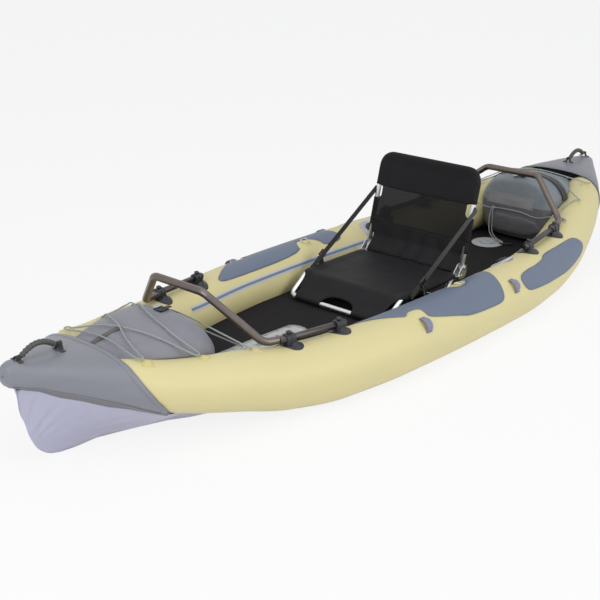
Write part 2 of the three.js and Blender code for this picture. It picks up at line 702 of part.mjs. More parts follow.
// End cover: a shell over the tube ends, open to the keel skin below and to the cockpit
function coverRing(x, inset) {
  const share = Math.abs(x) / hullHalfLength;
  const tops = x < 0 ? coverShares.bowTop : coverShares.sternTop;
  const waist = tubeAt(Math.sign(x) * Math.min(share, coverWaistShare) * hullHalfLength).z;
  const half = tubeSpacing * linear(coverShares.at, coverShares.half, share) - inset;
  const crown = endRise * linear(coverShares.at, tops, share) - inset - waist;
  const [rimHalf, rimHeight] = bottomRim(x);
  const rim = new THREE.Vector2(rimHalf - inset, rimHeight + bottomSkin + seatGap);
  const starboard = [];
  const crownSteps = 5;
  for (let k = 0; k <= crownSteps; k += 1) {
    const angle = (Math.PI / 2) * (k / crownSteps);
    const y = half * Math.sin(angle) ** (2 / coverCrownPower);
    starboard.push([y, waist + crown * Math.cos(angle) ** (2 / coverCrownPower)]);
  }
  const low = new THREE.Vector2(half, rim.y + coverSideBulgeShare * (waist - rim.y));
  const side = new THREE.QuadraticBezierCurve(new THREE.Vector2(half, waist), low, rim);
  side.getPoints(3).slice(1).forEach((p) => starboard.push([p.x, p.y]));
  if (inset > 0) {
    starboard.push([rim.x, rim.y - tubeRadius]);
  }
  const port = starboard.slice(1).map(([y, z]) => [-y, z]).reverse();
  return [...starboard, ...port].map(([y, z]) => new THREE.Vector3(x, y, z));
}

function endCover(end) {
  const outer = loft(coverShares.at.map((share) => coverRing(end * share * hullHalfLength, 0)));
  const hollow = coverShares.at.filter((share) => share < coverHollowShare);
  const innerShares = [coverHollowFromShare, ...hollow, coverHollowShare];
  const inner = loft(innerShares.map((share) => coverRing(end * share * hullHalfLength, coverSkin)));
  const sleeves = sideTube(-1, seatGap + sleeveSkin).add(sideTube(1, seatGap + sleeveSkin));
  const mouth = mouthShares.at.map((s, k) => [end * s * hullHalfLength, mouthShares.height[k] * endRise]);
  const beyond = end * (hullHalfLength + cutOverrun);
  const bottom = mouth[mouth.length - 1][1];
  const keep = across([...mouth, [beyond, bottom], [beyond, mouth[0][1]]], -tubeSpacing, tubeSpacing);
  const keelSpace = bottomLoft([...skinShares, ...stemShares], end, -seatGap);
  return clearOfTubes(outer.add(sleeves).intersect(keep).subtract(inner)).subtract(keelSpace);
}

// Carrying handle: a grip arched over a core that turns in two eyes on the cover
function handleStops(end, reach) {
  const height = end < 0 ? bowHandleHeight : sternHandleHeight;
  const stops = [];
  const steps = 6;
  if (reach > gripReach) {
    stops.push(new THREE.Vector3(end * handleX - reach, 0, height));
  }
  for (let k = 0; k <= steps; k += 1) {
    const t = (2 * k) / steps - 1;
    stops.push(new THREE.Vector3(end * handleX + gripReach * t, 0, height + gripRise * (1 - t * t)));
  }
  if (reach > gripReach) {
    stops.push(new THREE.Vector3(end * handleX + reach, 0, height));
  }
  return stops;
}

function eyedCover(end) {
  const core = bar(handleStops(end, coreReach + cutOverrun), turningSpace(gripCoreRadius, 8), 8);
  const height = end < 0 ? bowHandleHeight : sternHandleHeight;
  let cover = endCover(end);
  [-1, 1].forEach((way) => {
    const outerEnd = end * handleX + way * (coreReach + handleEyeOverhang);
    const innerEnd = outerEnd - way * handleEyeLength;
    const from = [Math.min(outerEnd, innerEnd), -handleEyeWidth / 2, height - handleEyeDrop];
    const to = [Math.max(outerEnd, innerEnd), handleEyeWidth / 2, height + handleEyeTop];
    cover = cover.add(box(from, to));
  });
  return cover.subtract(core);
}

// Rub patches: plan outline for the front ones, side outline for the rear ones
function patchOutline(shares, degrees, side, fromSide) {
  return shares.map((share, k) => {
    const { point } = onTube(side, share * hullHalfLength, degrees[k]);
    return fromSide ? [point.x, point.z] : [point.x, point.y];
  });
}

function rubPatch(side, place) {
  const skin = sideTube(side, seatGap + patchSkin).subtract(tubeSpaces[side < 0 ? 0 : 1]);
  if (place === "front") {
    const outline = patchOutline(frontPatchShares, frontPatchDegrees, side, false);
    return skin.intersect(raised(outline, tubeRadius, 3 * tubeRadius));
  }
  const outline = patchOutline(rearPatchShares, rearPatchDegrees, side, true);
  const outboard = side * (tubeSpacing + 2 * tubeRadius);
  const places = [...rearPatchShares].sort((a, b) => a - b).map((share) => share * hullHalfLength);
  const middle = places.map((x) => [x, side * tubeAt(x).y]);
  const ends = [[places[places.length - 1], outboard], [places[0], outboard]];
  const half = raised([...middle, ...ends], 0, 3 * tubeRadius);
  return skin.intersect(half).intersect(across(outline, -2 * tubeSpacing, 2 * tubeSpacing));
}

// Webbing loop stitched to the tube at both ends and arched between them
function webbingLoop(side, { share, from, to }) {
  const x = share * hullHalfLength;
  const rings = loopArchShares.map((part, k) => {
    const degrees = from + (to - from) * part;
    const top = seatGap + loopSkin + loopRise * loopLiftShares[k];
    const skin = loopLiftShares[k] > 0 ? loopSkin : 2 * loopSkin;
    return [[-1, skin], [1, skin], [1, 0], [-1, 0]].map(([way, drop]) => (
      onTube(side, x + (way * loopWidth) / 2, degrees, top - drop).point
    ));
  });
  return clearOfTubes(loft(rings));
}

// Air valve let into the tube, with a cap that turns
function valveFlange(side) {
  const outline = [
    [0, -clampPadDrop], [valveFlangeRadius, -clampPadDrop], [valveFlangeRadius, valveFlangeEdge],
    [valveFlangeRadius - valveFlangeHeight, valveFlangeHeight], [0, valveFlangeHeight],
  ];
  const { point, normal, heading } = onTube(side, valveX, valveAngle);
  return clearOfTubes(stood(turned(outline, 14), point, normal, heading));
}

function valveCap(side) {
  const base = valveFlangeHeight + seatGap;
  const top = base + valveCapHeight;
  const rounding = valveCapHeight / 3;
  const outline = [
    [0, base], [valveCapRadius, base], [valveCapRadius, top - rounding], [valveCapRadius - rounding, top],
    [0, top],
  ];
  const tongue = box([0, -rounding, base], [valveCapRadius + 2 * rounding, rounding, base + rounding]);
  const { point, normal, heading } = onTube(side, valveX, valveAngle);
  return stood(turned(outline, 12).add(tongue), point, normal, heading);
}

// Floor
function floorSlab(low, high) {
  const wide = tubeSpacing + tubeRadius;
  const slab = box([-floorHalfLength, -wide, low], [floorHalfLength, wide, high]);
  const rods = keelRod(-1, keelRodRadius + seatGap).add(keelRod(1, keelRodRadius + seatGap));
  return clearOfTubes(slab.intersect(wellSpace())).subtract(rods);
}
const floorLow = bottomSkin + seatGap;
const floorCoverLow = floorTop + seatGap;
const floorFace = floorCoverLow + floorCoverSkin;
const stripLow = floorFace + seatGap;

function measuringStrip() {
  const outline = [
    [stripFrom, stripPortEdge], [stripTo - stripBevel, stripPortEdge], [stripTo, stripPortEdge + stripBevel],
    [stripTo, stripStarboardEdge - stripBevel], [stripTo - stripBevel, stripStarboardEdge],
    [stripFrom, stripStarboardEdge],
  ];
  return raised(outline, stripLow, stripLow + stripSkin);
}

function floorValve(inner, outer, low, high) {
  const rounding = (high - low) / 3;
  const outline = [
    [inner, low], [outer, low], [outer, high - rounding], [outer - rounding, high], [inner, high],
  ];
  const closed = inner > 0 ? [...outline, outline[0]] : outline;
  return turned(closed, 16).translate([floorValveX, floorValveY, 0]);
}

// Accessory frames: an outer bar bent over the cockpit and two inner bars that slide in its ends
function frameStops(frame, side) {
  const { end, cross, crossHalf, crossHeight, bend, bendHalf, near, nearHalf, far, farHalf } = frame;
  const heightOver = (place, half) => {
    const tube = tubeAt(end * place);
    const lean = Math.asin((half - tube.y) / tube.r);
    return tube.z + tube.r * Math.cos(lean) + railLift;
  };
  const nearSpot = new THREE.Vector3(end * near, side * nearHalf, heightOver(near, nearHalf));
  const farSpot = new THREE.Vector3(end * far, side * farHalf, heightOver(far, farHalf));
  const run = farSpot.clone().sub(nearSpot).normalize();
  const corner = nearSpot.clone().addScaledVector(run, (near - bend) / Math.abs(run.x));
  corner.y = side * bendHalf;
  return {
    cross: [end * cross, side * crossHalf, crossHeight],
    corner: corner.toArray(),
    step: nearSpot.clone().addScaledVector(run, slideFrom).toArray(),
    within: nearSpot.clone().addScaledVector(run, slideFrom - slideOverlap).toArray(),
    tip: farSpot.clone().addScaledVector(run, railOverhang).toArray(),
    near: nearSpot,
    far: farSpot,
    run,
  };
}

function slideBar(stops, radius, beyond) {
  const ends = [new THREE.Vector3(...stops.tip), new THREE.Vector3(...stops.within)];
  ends[1].addScaledVector(stops.run, -beyond);
  return bar(ends, radius, railSides);
}

function crossBar(port, starboard, radius) {
  const rail = bent([port.corner, port.cross, starboard.cross, starboard.corner], crossBend);
  const portEnd = bent([port.step, port.corner, port.cross], railBend).slice(0, -1);
  const starboardEnd = bent([starboard.cross, starboard.corner, starboard.step], railBend).slice(1);
  return bar([...portEnd, ...rail.slice(1, -1), ...starboardEnd], radius, railSides);
}

// Clamp: a pad glued to the tube and a collar round the bar, closed by a bolt on top
function railClamp(side, spot, run, radius, place) {
  const tube = tubeAt(spot.x);
  const degrees = THREE.MathUtils.radToDeg(Math.asin((Math.abs(spot.y) - tube.y) / tube.r));
  const { point, normal, heading } = onTube(side, spot.x, degrees);
  const pad = stood(turned([
    [0, -clampPadDrop], [clampPadRadius, -clampPadDrop], [clampPadRadius, -clampPadHeight],
    [clampPadRadius / 2, clampPadHeight], [0, clampPadHeight],
  ], 12), point, normal, heading);
  const top = radius + clampWall;
  const foot = -railLift - clampPadHeight / 2;
  const half = clampLength / 2;
  const collarOutline = [
    [-1.2 * top, foot], [1.2 * top, foot], [top, 0], [0.6 * top, 0.9 * top], [-0.6 * top, 0.9 * top],
    [-top, 0],
  ];
  const collar = across(collarOutline, -half, half).rotate([0, 0, 90]);
  const bolt = turned([
    [0, 0], [clampBoltRadius, 0], [clampBoltRadius, top + clampBoltHeight], [0, top + clampBoltHeight],
  ], 8);
  const body = stood(collar.add(bolt), spot, new THREE.Vector3(0, 0, 1), run);
  return clearOfTubes(pad.add(body)).subtract(place);
}

// Seat, in its own side view: rails on the floor frame and a back hinged above their rear ends
const backRun = new THREE.Vector3(seatTopX - seatRear, 0, seatTopHeight - seatHingeHeight).normalize();
const backNormal = new THREE.Vector3(-backRun.z, 0, backRun.x);
const legLow = floorFace + seatGap + seatTubeRadius;
const seatLow = legLow + seatGap + slingSkin;

function railPoints(half) {
  return [
    [seatRear - plateHalfLength / 2, -half, seatRailHeight], [seatKnee, -half, seatRailHeight],
    [seatFront, -half, seatLow], [seatFront, half, seatLow], [seatKnee, half, seatRailHeight],
    [seatRear - plateHalfLength / 2, half, seatRailHeight],
  ];
}

function panBar(radius) {
  return bar(bent(railPoints(seatHalfWidth), seatPanBend, 3), radius, seatBarSides);
}

function legBar(radius) {
  const points = [
    [seatLegTop, -seatHalfWidth, seatRailHeight], [seatLegFoot, -seatHalfWidth, legLow],
    [seatLegFoot, seatHalfWidth, legLow], [seatLegTop, seatHalfWidth, seatRailHeight],
  ];
  return bar(bent(points, seatPanBend, 3), radius, seatBarSides);
}

function backStops(from) {
  const foot = new THREE.Vector3(seatRear, 0, seatHingeHeight).addScaledVector(backRun, from);
  const points = [
    [foot.x, -seatHalfWidth, foot.z], [seatTopX, -seatHalfWidth, seatTopHeight],
    [seatTopX, seatHalfWidth, seatTopHeight], [foot.x, seatHalfWidth, foot.z],
  ];
  return bent(points, seatBend, 4);
}

function backBar(radius, from) {
  return bar(backStops(from), radius, seatBarSides);
}

// Bolt lying across the boat: shank, and a head at each end
function hingeBolt(side, shank, headed) {
  const inner = seatTubeRadius + plateGap + plateSkin + seatGap;
  const reach = inner + boltHeadHeight;
  const outline = headed
    ? [[0, -reach], [boltHeadRadius, -reach], [boltHeadRadius, -inner], [shank, -inner], [shank, inner],
      [boltHeadRadius, inner], [boltHeadRadius, reach], [0, reach]]
    : [[0, -reach], [shank, -reach], [shank, reach], [0, reach]];
  return turned(outline, 10).rotate([90, 0, 0]).translate([seatRear, side * seatHalfWidth, seatHingeHeight]);
}

function hingePlates(side) {
  const low = seatRailHeight - seatTubeRadius - plateSkin;
  const outline = [
    [seatRear - 2 * plateHalfLength, low], [seatRear + plateHalfLength / 2, low],
    [seatRear + plateHalfLength, seatHingeHeight],
    [seatRear + plateHalfLength / 2, seatHingeHeight + plateRise],
    [seatRear - plateHalfLength / 2, seatHingeHeight + plateRise],
    [seatRear - plateHalfLength, seatHingeHeight],
    [seatRear - 2 * plateHalfLength, seatRailHeight + seatTubeRadius],
  ];
  const inner = seatTubeRadius + plateGap;
  const outer = inner + plateSkin;
  const middle = side * seatHalfWidth;
  const saddle = box(
    [seatRear - 2 * plateHalfLength, middle - outer, low],
    [seatRear - plateHalfLength / 2, middle + outer, seatRailHeight + seatTubeRadius / 2],
  );
  return across(outline, middle - outer, middle - inner).add(across(outline, middle + inner, middle + outer))
    .add(saddle);
}

// Stud on a seat tube, which a strap end is held on
const strapInner = seatHalfWidth + seatTubeRadius + slingSkin + 2 * seatGap;
const strapTop = new THREE.Vector3(seatRear, 0, seatHingeHeight).addScaledVector(backRun, strapReach);
const strapFoot = new THREE.Vector3(strapFootX, 0, seatRailHeight + strapFootRise);

const betweenRails = box([seatFront, -seatHalfWidth, 0], [seatTopX, seatHalfWidth, seatTopHeight]);

function strapStuds(spot) {
  const reach = strapInner - seatGap;
  return turned([[0, -reach], [strapStudRadius, -reach], [strapStudRadius, reach], [0, reach]], 8)
    .rotate([90, 0, 0]).translate(spot.toArray()).subtract(betweenRails);
}

function panFrame() {
  const plates = hingePlates(-1).add(hingePlates(1));
  const holes = hingeBolt(-1, boltRadius + seatGap, false).add(hingeBolt(1, boltRadius + seatGap, false));
  const studs = strapStuds(strapFoot);
  return panBar(seatTubeRadius).add(legBar(seatTubeRadius)).add(plates).add(studs).subtract(holes);
}

function backFrame() {
  const holes = hingeBolt(-1, boltRadius + seatGap, false).add(hingeBolt(1, boltRadius + seatGap, false));
  return backBar(seatTubeRadius, -seatTail).add(strapStuds(strapTop)).subtract(holes);
}

// Sling of the pan: fabric sleeved on the rails, down the slope and round the front bar
function panSling() {
  const rear = seatRear - 2.6 * plateHalfLength;
  const high = seatRailHeight + slingLift;
  const slope = new THREE.Vector2(seatFront - seatKnee, seatLow - seatRailHeight).normalize();
  const lift = new THREE.Vector2(-slope.y, slope.x).multiplyScalar(-slingLift);
  const top = [
    [rear, high], [seatKnee + slingLift / 2, high], [seatKnee + lift.x, seatRailHeight + lift.y],
    [seatFront + lift.x, seatLow + lift.y],
  ];
  const under = top.map(([x, z]) => [x, z - slingSkin]).reverse();
  const sheet = across([...top, ...under], -seatHalfWidth, seatHalfWidth);
  const sleeve = panBar(seatTubeRadius + seatGap + slingSkin);
  const middle = box(
    [seatKnee - seatTubeRadius, -seatHalfWidth, 0], [rear, seatHalfWidth, seatTopHeight],
  );
  const notch = seatHalfWidth / 3;
  const corner = seatHalfWidth - seatPanBend;
  const frontSleeve = box(
    [seatFront - 2 * seatTubeRadius, notch, 0], [seatFront + 2 * seatTubeRadius, corner, seatRailHeight],
  );
  const fabric = sleeve.intersect(middle.add(frontSleeve).add(mirroredAcross(frontSleeve))).add(sheet);
  const corners = box(
    [seatFront - 2 * seatTubeRadius, corner, 0],
    [seatKnee - 3 * seatTubeRadius, seatHalfWidth + 2 * seatTubeRadius, seatRailHeight],
  );
  const arch = raised([
    [seatFront - 3 * seatTubeRadius, -notch], [seatFront + 2 * seatTubeRadius, -notch],
    [seatFront + 4 * seatTubeRadius, -notch / 2], [seatFront + 4 * seatTubeRadius, notch / 2],
    [seatFront + 2 * seatTubeRadius, notch], [seatFront - 3 * seatTubeRadius, notch],
  ], 0, seatRailHeight);
  return fabric.subtract(corners).subtract(mirroredAcross(corners)).subtract(arch)
    .subtract(panBar(seatTubeRadius + seatGap)).subtract(legBar(seatTubeRadius + seatGap));
}

function mirroredAcross(solid) {
  return solid.mirror([0, 1, 0]);
}

// Sling of the back: fabric sleeved on the back frame, open at the sides where the straps are pinned
function backSling() {
  const base = new THREE.Vector3(seatRear, 0, seatHingeHeight).addScaledVector(backNormal, slingLift);
  const faces = [slingLift, slingLift - slingSkin].map((lift) => (
    backStops(backSlingFrom).map((stop) => stop.addScaledVector(backNormal, lift))
  ));
  const sheet = loft(faces);
  const sleeve = backBar(seatTubeRadius + seatGap + slingSkin, backSlingFrom);
  const notchBox = (from, to) => {
    const ends = [from, to].map((reach) => base.clone().addScaledVector(backRun, reach));
    const wide = backNormal.clone().multiplyScalar(3 * seatTubeRadius);
    const corners = [ends[0].clone().add(wide), ends[1].clone().add(wide), ends[1].clone().sub(wide),
      ends[0].clone().sub(wide)].map((p) => [p.x, p.z]);
    return across(corners, seatHalfWidth - 2 * seatTubeRadius, seatHalfWidth + 2 * seatTubeRadius);
  };
  const notch = notchBox(backNotchFrom, backNotchTo);
  return sheet.add(sleeve).subtract(notch).subtract(mirroredAcross(notch))
    .subtract(backBar(seatTubeRadius + seatGap, backSlingFrom - cutOverrun));
}

// Strap from the back frame down to the pan rail
function seatStrap(side) {
  const run = new THREE.Vector2(strapTop.x - strapFoot.x, strapTop.z - strapFoot.z).normalize();
  const wide = new THREE.Vector2(-run.y, run.x).multiplyScalar(strapWidth / 2);
  const outline = [
    [strapFoot.x - wide.x, strapFoot.z - wide.y], [strapTop.x - wide.x, strapTop.z - wide.y],
    [strapTop.x + wide.x, strapTop.z + wide.y], [strapFoot.x + wide.x, strapFoot.z + wide.y],
  ];
  const faces = [side * strapInner, side * (strapInner + strapSkin)].sort((a, b) => a - b);
  return across(outline, faces[0], faces[1]);
}

// Gear bag: round-cornered sections between the tubes, swollen by a lift
function bagRing(shares, index, end, lift) {
  const half = shares.half[index] * tubeSpacing + lift;
  const low = shares.bottom[index] * endRise - lift;
  const high = shares.top[index] * endRise + lift;
  const ring = [];
  for (let k = 0; k < bagSides; k += 1) {
    const angle = (2 * Math.PI * (k + 0.5)) / bagSides;
    const y = Math.sign(Math.cos(angle)) * half * Math.abs(Math.cos(angle)) ** (2 / bagCornerPower);
    const z = Math.sign(Math.sin(angle)) * Math.abs(Math.sin(angle)) ** (2 / bagCornerPower);
    const height = (low + high + z * (high - low)) / 2;
    ring.push(new THREE.Vector3(end * shares.at[index] * hullHalfLength, y, height));
  }
  return ring;
}

function bagBody(shares, end, lift) {
  return loft(shares.at.map((share, index) => bagRing(shares, index, end, lift)));
}

function gearBag(shares, end, cover) {
  const floorSpace = slabBelow(end < 0 ? stripLow + stripSkin + seatGap : floorFace + seatGap);
  const under = bottomLoft([skinShares[0] / 2, ...skinShares], end, bottomSkin + seatGap);
  return clearOfTubes(bagBody(shares, end, 0).intersect(under)).subtract(floorSpace).subtract(cover);
}

function cord(route, radius, endless = false) {
  return bar(route.map((point) => new THREE.Vector3(...point)), radius, 8, endless);
}

function slabBelow(height) {
  const wide = tubeSpacing + tubeRadius;
  return box([-floorHalfLength - seatGap, -wide, 0], [floorHalfLength + seatGap, wide, height]);
}

// Hull
add("port_side_tube", taggedTube(-1), yellowFabric);
add("starboard_side_tube", taggedTube(1), yellowFabric);
add("bow_cover", eyedCover(-1), greyFabric);
add("stern_cover", eyedCover(1), greyFabric);
add("hull_bottom", middleSkin(), lavenderFabric);
add("bow_keel_skin", keelSkin(-1), lavenderFabric);
add("stern_keel_skin", keelSkin(1), lavenderFabric);
add("bow_keel_rod", keelRod(-1), bareAluminium);
add("stern_keel_rod", keelRod(1), bareAluminium);

// Floor
add("air_floor", floorSlab(floorLow, floorTop), blackFabric);
add("floor_cover", floorSlab(floorCoverLow, floorFace), blackFabric);
add("measuring_strip", measuringStrip(), paleStrip);
const floorValveLow = floorFace + seatGap;
const floorCapLow = floorValveLow + floorValveSkin / 2;
const floorValveHigh = floorValveLow + floorValveSkin;
const valveBase = floorValve(0, floorValveRadius, floorValveLow, floorCapLow);
const capSpace = turningSpace(floorValveCapRadius, 16);
const valveRim = floorValve(capSpace, floorValveRadius, floorValveLow, floorValveHigh);
const floorCap = floorValve(0, floorValveCapRadius, floorCapLow + seatGap, floorValveHigh + floorValveSkin);
add("floor_valve", valveBase.add(valveRim), paleStrip);
add("floor_valve_cap", floorCap, greyPlastic);

// Fittings on the tubes
const sides = [{ name: "port", side: -1 }, { name: "starboard", side: 1 }];
sides.forEach(({ name, side }) => {
  add(`${name}_front_rub_patch`, rubPatch(side, "front"), slateFabric);
  add(`${name}_rear_rub_patch`, rubPatch(side, "rear"), slateFabric);
  add(`${name}_valve`, valveFlange(side), greyPlastic);
  add(`${name}_valve_cap`, valveCap(side), greyPlastic);
  add(`${name}_d_ring`, dRing(side), bareAluminium);
  loopPlaces.forEach((place) => add(`${name}_${place.name}_loop`, webbingLoop(side, place), lilacWebbing));
});

// Carrying handles
[["bow", -1], ["stern", 1]].forEach(([name, end]) => {
  const core = bar(handleStops(end, coreReach), gripCoreRadius, 8);
  const space = bar(handleStops(end, coreReach), gripCoreRadius + seatGap, 8);
  add(`${name}_handle_core`, core, blackWebbing);
  add(`${name}_handle_grip`, bar(handleStops(end, gripReach), gripRadius, 10).subtract(space), oliveGrip);
});

// Accessory frames
accessoryFrames.forEach((frame) => {
  const stops = { port: frameStops(frame, -1), starboard: frameStops(frame, 1) };
  const spaces = sides.map(({ name }) => slideBar(stops[name], slideRadius + seatGap, seatGap));
  const outer = crossBar(stops.port, stops.starboard, railRadius);
  add(`${frame.name}_frame_bar`, spaces.reduce((solid, space) => solid.subtract(space), outer), anodised);
  const outerSpace = crossBar(stops.port, stops.starboard, railRadius + seatGap);
  sides.forEach(({ name, side }, k) => {
    const { near, far, run } = stops[name];
    add(`${name}_${frame.name}_slide`, slideBar(stops[name], slideRadius, 0), anodised);
    const place = outerSpace.add(spaces[k]);
    add(`${name}_${frame.name}_near_clamp`, railClamp(side, near, run, railRadius, place), blackRubber);
    add(`${name}_${frame.name}_far_clamp`, railClamp(side, far, run, slideRadius, place), blackRubber);
  });
});

// Seat
add("seat_pan_frame", panFrame(), bareAluminium);
add("seat_back_frame", backFrame(), bareAluminium);
add("seat_pan_sling", panSling(), blackFabric);
add("seat_back_sling", backSling(), blackFabric);
sides.forEach(({ name, side }) => {
  add(`${name}_hinge_bolt`, hingeBolt(side, boltRadius, true), bareAluminium);
  add(`${name}_seat_strap`, seatStrap(side), blackWebbing);
});

// Gear bags
const bowCoverSpace = endCover(-1);
const sternCoverSpace = endCover(1);
add("bow_gear_bag", gearBag(bowBagShares, -1, bowCoverSpace), greyBagFabric);
add("stern_gear_bag", gearBag(sternBagShares, 1, sternCoverSpace), tealBagFabric);
const strapSpan = box([bagStrapAt - bagStrapWidth / 2, -tubeSpacing, tubeAt(bagStrapAt).z],
  [bagStrapAt + bagStrapWidth / 2, tubeSpacing, 2 * endRise]);
add("stern_bag_strap", clearOfTubes(bagBody(sternBagShares, 1, seatGap + bagStrapSkin)
  .subtract(bagBody(sternBagShares, 1, seatGap)).intersect(strapSpan)), blackWebbing);

// Cords
add("bow_lacing_cord", cord(bowCordRoute, cordRadius), elasticCord);
add("stern_lacing_cord", cord(sternCordRoute, cordRadius), elasticCord);
add("stern_hook_loop", cord(hookLoopRoute, cordRadius, true).add(cord(hookRoute, hookRadius)), blackRubber);

export default group;
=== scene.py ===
# Inflatable fishing kayak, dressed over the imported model. Metres, bow to -X, port to -Y, +Z up.

from math import asin, atan2, copysign, cos, dist, exp, hypot, pi, radians, sin, sqrt, tan

import bmesh
import bpy
from mathutils import Matrix, Vector, geometry, kdtree, noise
from mathutils.bvhtree import BVHTree


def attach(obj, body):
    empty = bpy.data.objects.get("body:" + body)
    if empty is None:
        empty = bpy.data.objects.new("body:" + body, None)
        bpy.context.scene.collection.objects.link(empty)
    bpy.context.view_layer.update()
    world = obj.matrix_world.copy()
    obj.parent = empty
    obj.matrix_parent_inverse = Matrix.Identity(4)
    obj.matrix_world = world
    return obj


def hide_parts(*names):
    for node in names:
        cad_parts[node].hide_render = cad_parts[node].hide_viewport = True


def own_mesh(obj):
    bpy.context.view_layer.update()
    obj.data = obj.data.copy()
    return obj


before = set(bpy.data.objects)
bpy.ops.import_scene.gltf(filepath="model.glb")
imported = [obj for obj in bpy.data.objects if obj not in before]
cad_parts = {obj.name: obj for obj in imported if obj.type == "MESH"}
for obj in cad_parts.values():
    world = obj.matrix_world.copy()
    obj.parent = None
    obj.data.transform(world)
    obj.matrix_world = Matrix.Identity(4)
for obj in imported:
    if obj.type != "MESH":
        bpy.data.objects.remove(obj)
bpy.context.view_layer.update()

scene = bpy.context.scene
scene.view_settings.view_transform = "Standard"


# Camera. It stands off the port bow, a little above the boat, where the photograph was taken from.
# A plain pale floor and a white backdrop stand round the boat, under soft studio lamps.
def new_object(name, data):
    made = bpy.data.objects.new(name, data)
    scene.collection.objects.link(made)
    return made


camera_data = bpy.data.cameras.new("photo_camera")
camera_data.sensor_width = 36.0
camera_data.lens = 69.86
camera = new_object("photo_camera", camera_data)
camera.location = (-3.199, -2.532, 1.612)
camera.rotation_euler = (radians(69.284), 0.0, radians(-47.94))
scene.camera = camera


def node(tree, kind, inputs=None, **settings):
    """Node with inputs given as values, sockets, or other nodes whose factor or first output is meant."""
    made = tree.nodes.new(kind if "Node" in kind else "ShaderNode" + kind)
    for name, value in settings.items():
        setattr(made, name, value)
    for key, value in (inputs or {}).items():
        if isinstance(value, bpy.types.Node):
            value = value.outputs.get("Fac", value.outputs[0])
        if isinstance(value, bpy.types.NodeSocket):
            tree.links.new(value, made.inputs[key])
        else:
            made.inputs[key].default_value = value
    return made


def maths(tree, operation, first, second):
    return node(tree, "Math", {0: first, 1: second}, operation=operation)


def seen_as_background(tree):
    path = node(tree, "LightPath").outputs
    seen = maths(tree, "MAXIMUM", path["Is Camera Ray"], path["Is Glossy Ray"])
    return maths(tree, "MAXIMUM", seen, path["Is Transmission Ray"])


world = bpy.data.worlds.new("studio")
world.use_nodes = True
scene.world = world
sky = world.node_tree
sky.nodes.clear()
soft_fill = node(sky, "Background", {"Color": (0.96, 0.975, 1.0, 1.0), "Strength": 0.46})
white_wall = node(sky, "Background", {"Color": (1.0, 1.0, 1.0, 1.0), "Strength": 1.0})
backdrop = node(sky, "MixShader", {0: seen_as_background(sky), 1: soft_fill, 2: white_wall})
node(sky, "OutputWorld", {"Surface": backdrop})

boat_middle = Vector((0.0, 0.0, 0.15))
for name, place, width, energy in (
    ("overhead_lamp", (-0.6, -0.8, 4.2), 3.6, 40.0),
    ("bow_lamp", (-4.6, -1.0, 2.2), 2.4, 62.0),
    ("port_lamp", (0.6, -4.6, 2.0), 2.8, 66.0),
):
    lamp_data = bpy.data.lights.new(name, "AREA")
    lamp_data.size = width
    lamp_data.energy = energy
    lamp = new_object(name, lamp_data)
    lamp.location = place
    lamp.rotation_euler = (boat_middle - Vector(place)).to_track_quat("-Z", "Y").to_euler()

reach = 30.0
floor_mesh = bpy.data.meshes.new("studio_floor")
floor_corners = [(-reach, -reach, 0.0), (reach, -reach, 0.0), (reach, reach, 0.0), (-reach, reach, 0.0)]
floor_mesh.from_pydata(floor_corners, [], [(0, 1, 2, 3)])
studio_floor = new_object("studio_floor", floor_mesh)
floor_paint = bpy.data.materials.new("floor_paint")
floor_paint.use_nodes = True
paint = floor_paint.node_tree
paint.nodes.clear()
matt = node(paint, "BsdfDiffuse", {"Color": (0.9, 0.9, 0.9, 1.0)})
glow = node(paint, "Emission", {"Color": (1.0, 1.0, 1.0, 1.0), "Strength": 1.0})
glow_share = maths(paint, "MULTIPLY", seen_as_background(paint), 0.84)
blended = node(paint, "MixShader", {0: glow_share, 1: matt, 2: glow})
node(paint, "OutputMaterial", {"Surface": blended})
floor_mesh.materials.append(floor_paint)


# Elastic cords. A braided cord, 5 mm thick, is laced over each bag between tabs on the side tubes,
# and a loop of it hangs from the stern bag to a plastic hook that lies on the floor.
def tint(red, green, blue):
    """Colour as seen, 0 to 255, turned into the linear values that a shader takes."""
    return tuple(((c / 255 + 0.055) / 1.055) ** 2.4 if c > 10 else c / 255 / 12.92 for c in (red, green, blue))


def even(start, stop, steps):
    return [start + (stop - start) * k / steps for k in range(steps + 1)]


def grid_object(name, rows, ring=False, endless=False, capped=False):
    """Rows of points joined into a sheet, or into a tube, with a UV map laid out in metres."""

    def marks(points):
        total = [0.0]
        for here, after in zip(points, points[1:] + points[:1]):
            total.append(total[-1] + (Vector(after) - Vector(here)).length)
        return total

    count = len(rows[0])
    along = marks([row[0] for row in rows])
    across = marks(rows[len(rows) // 2])
    faces = []
    spots = []
    for row in range(len(rows) if endless else len(rows) - 1):
        after = (row + 1) % len(rows)
        for k in range(count if ring else count - 1):
            nxt = (k + 1) % count
            faces.append((row * count + k, row * count + nxt, after * count + nxt, after * count + k))
            spots += [(along[row], across[k]), (along[row], across[k + 1]),
                      (along[row + 1], across[k + 1]), (along[row + 1], across[k])]
    if capped:
        last = (len(rows) - 1) * count
        faces += [tuple(reversed(range(count))), tuple(range(last, last + count))]
        spots += [(0.0, 0.0)] * (2 * count)
    mesh = bpy.data.meshes.new(name)
    mesh.from_pydata([tuple(p) for row in rows for p in row], [], faces)
    mesh.uv_layers.new(name="lay").data.foreach_set("uv", [c for spot in spots for c in spot])
    mesh.shade_smooth()
    return new_object(name, mesh)


def turned_outward(piece, guide=None):
    """Faces turned outward or, on an open sheet, the way that the guide points."""
    shape = bmesh.new()
    shape.from_mesh(piece.data)
    bmesh.ops.recalc_face_normals(shape, faces=shape.faces)
    if guide is not None:
        total = sum((face.normal * face.calc_area() for face in shape.faces), Vector())
        if total.dot(guide) < 0:
            bmesh.ops.reverse_faces(shape, faces=shape.faces)
    shape.to_mesh(piece.data)
    shape.free()
    return piece


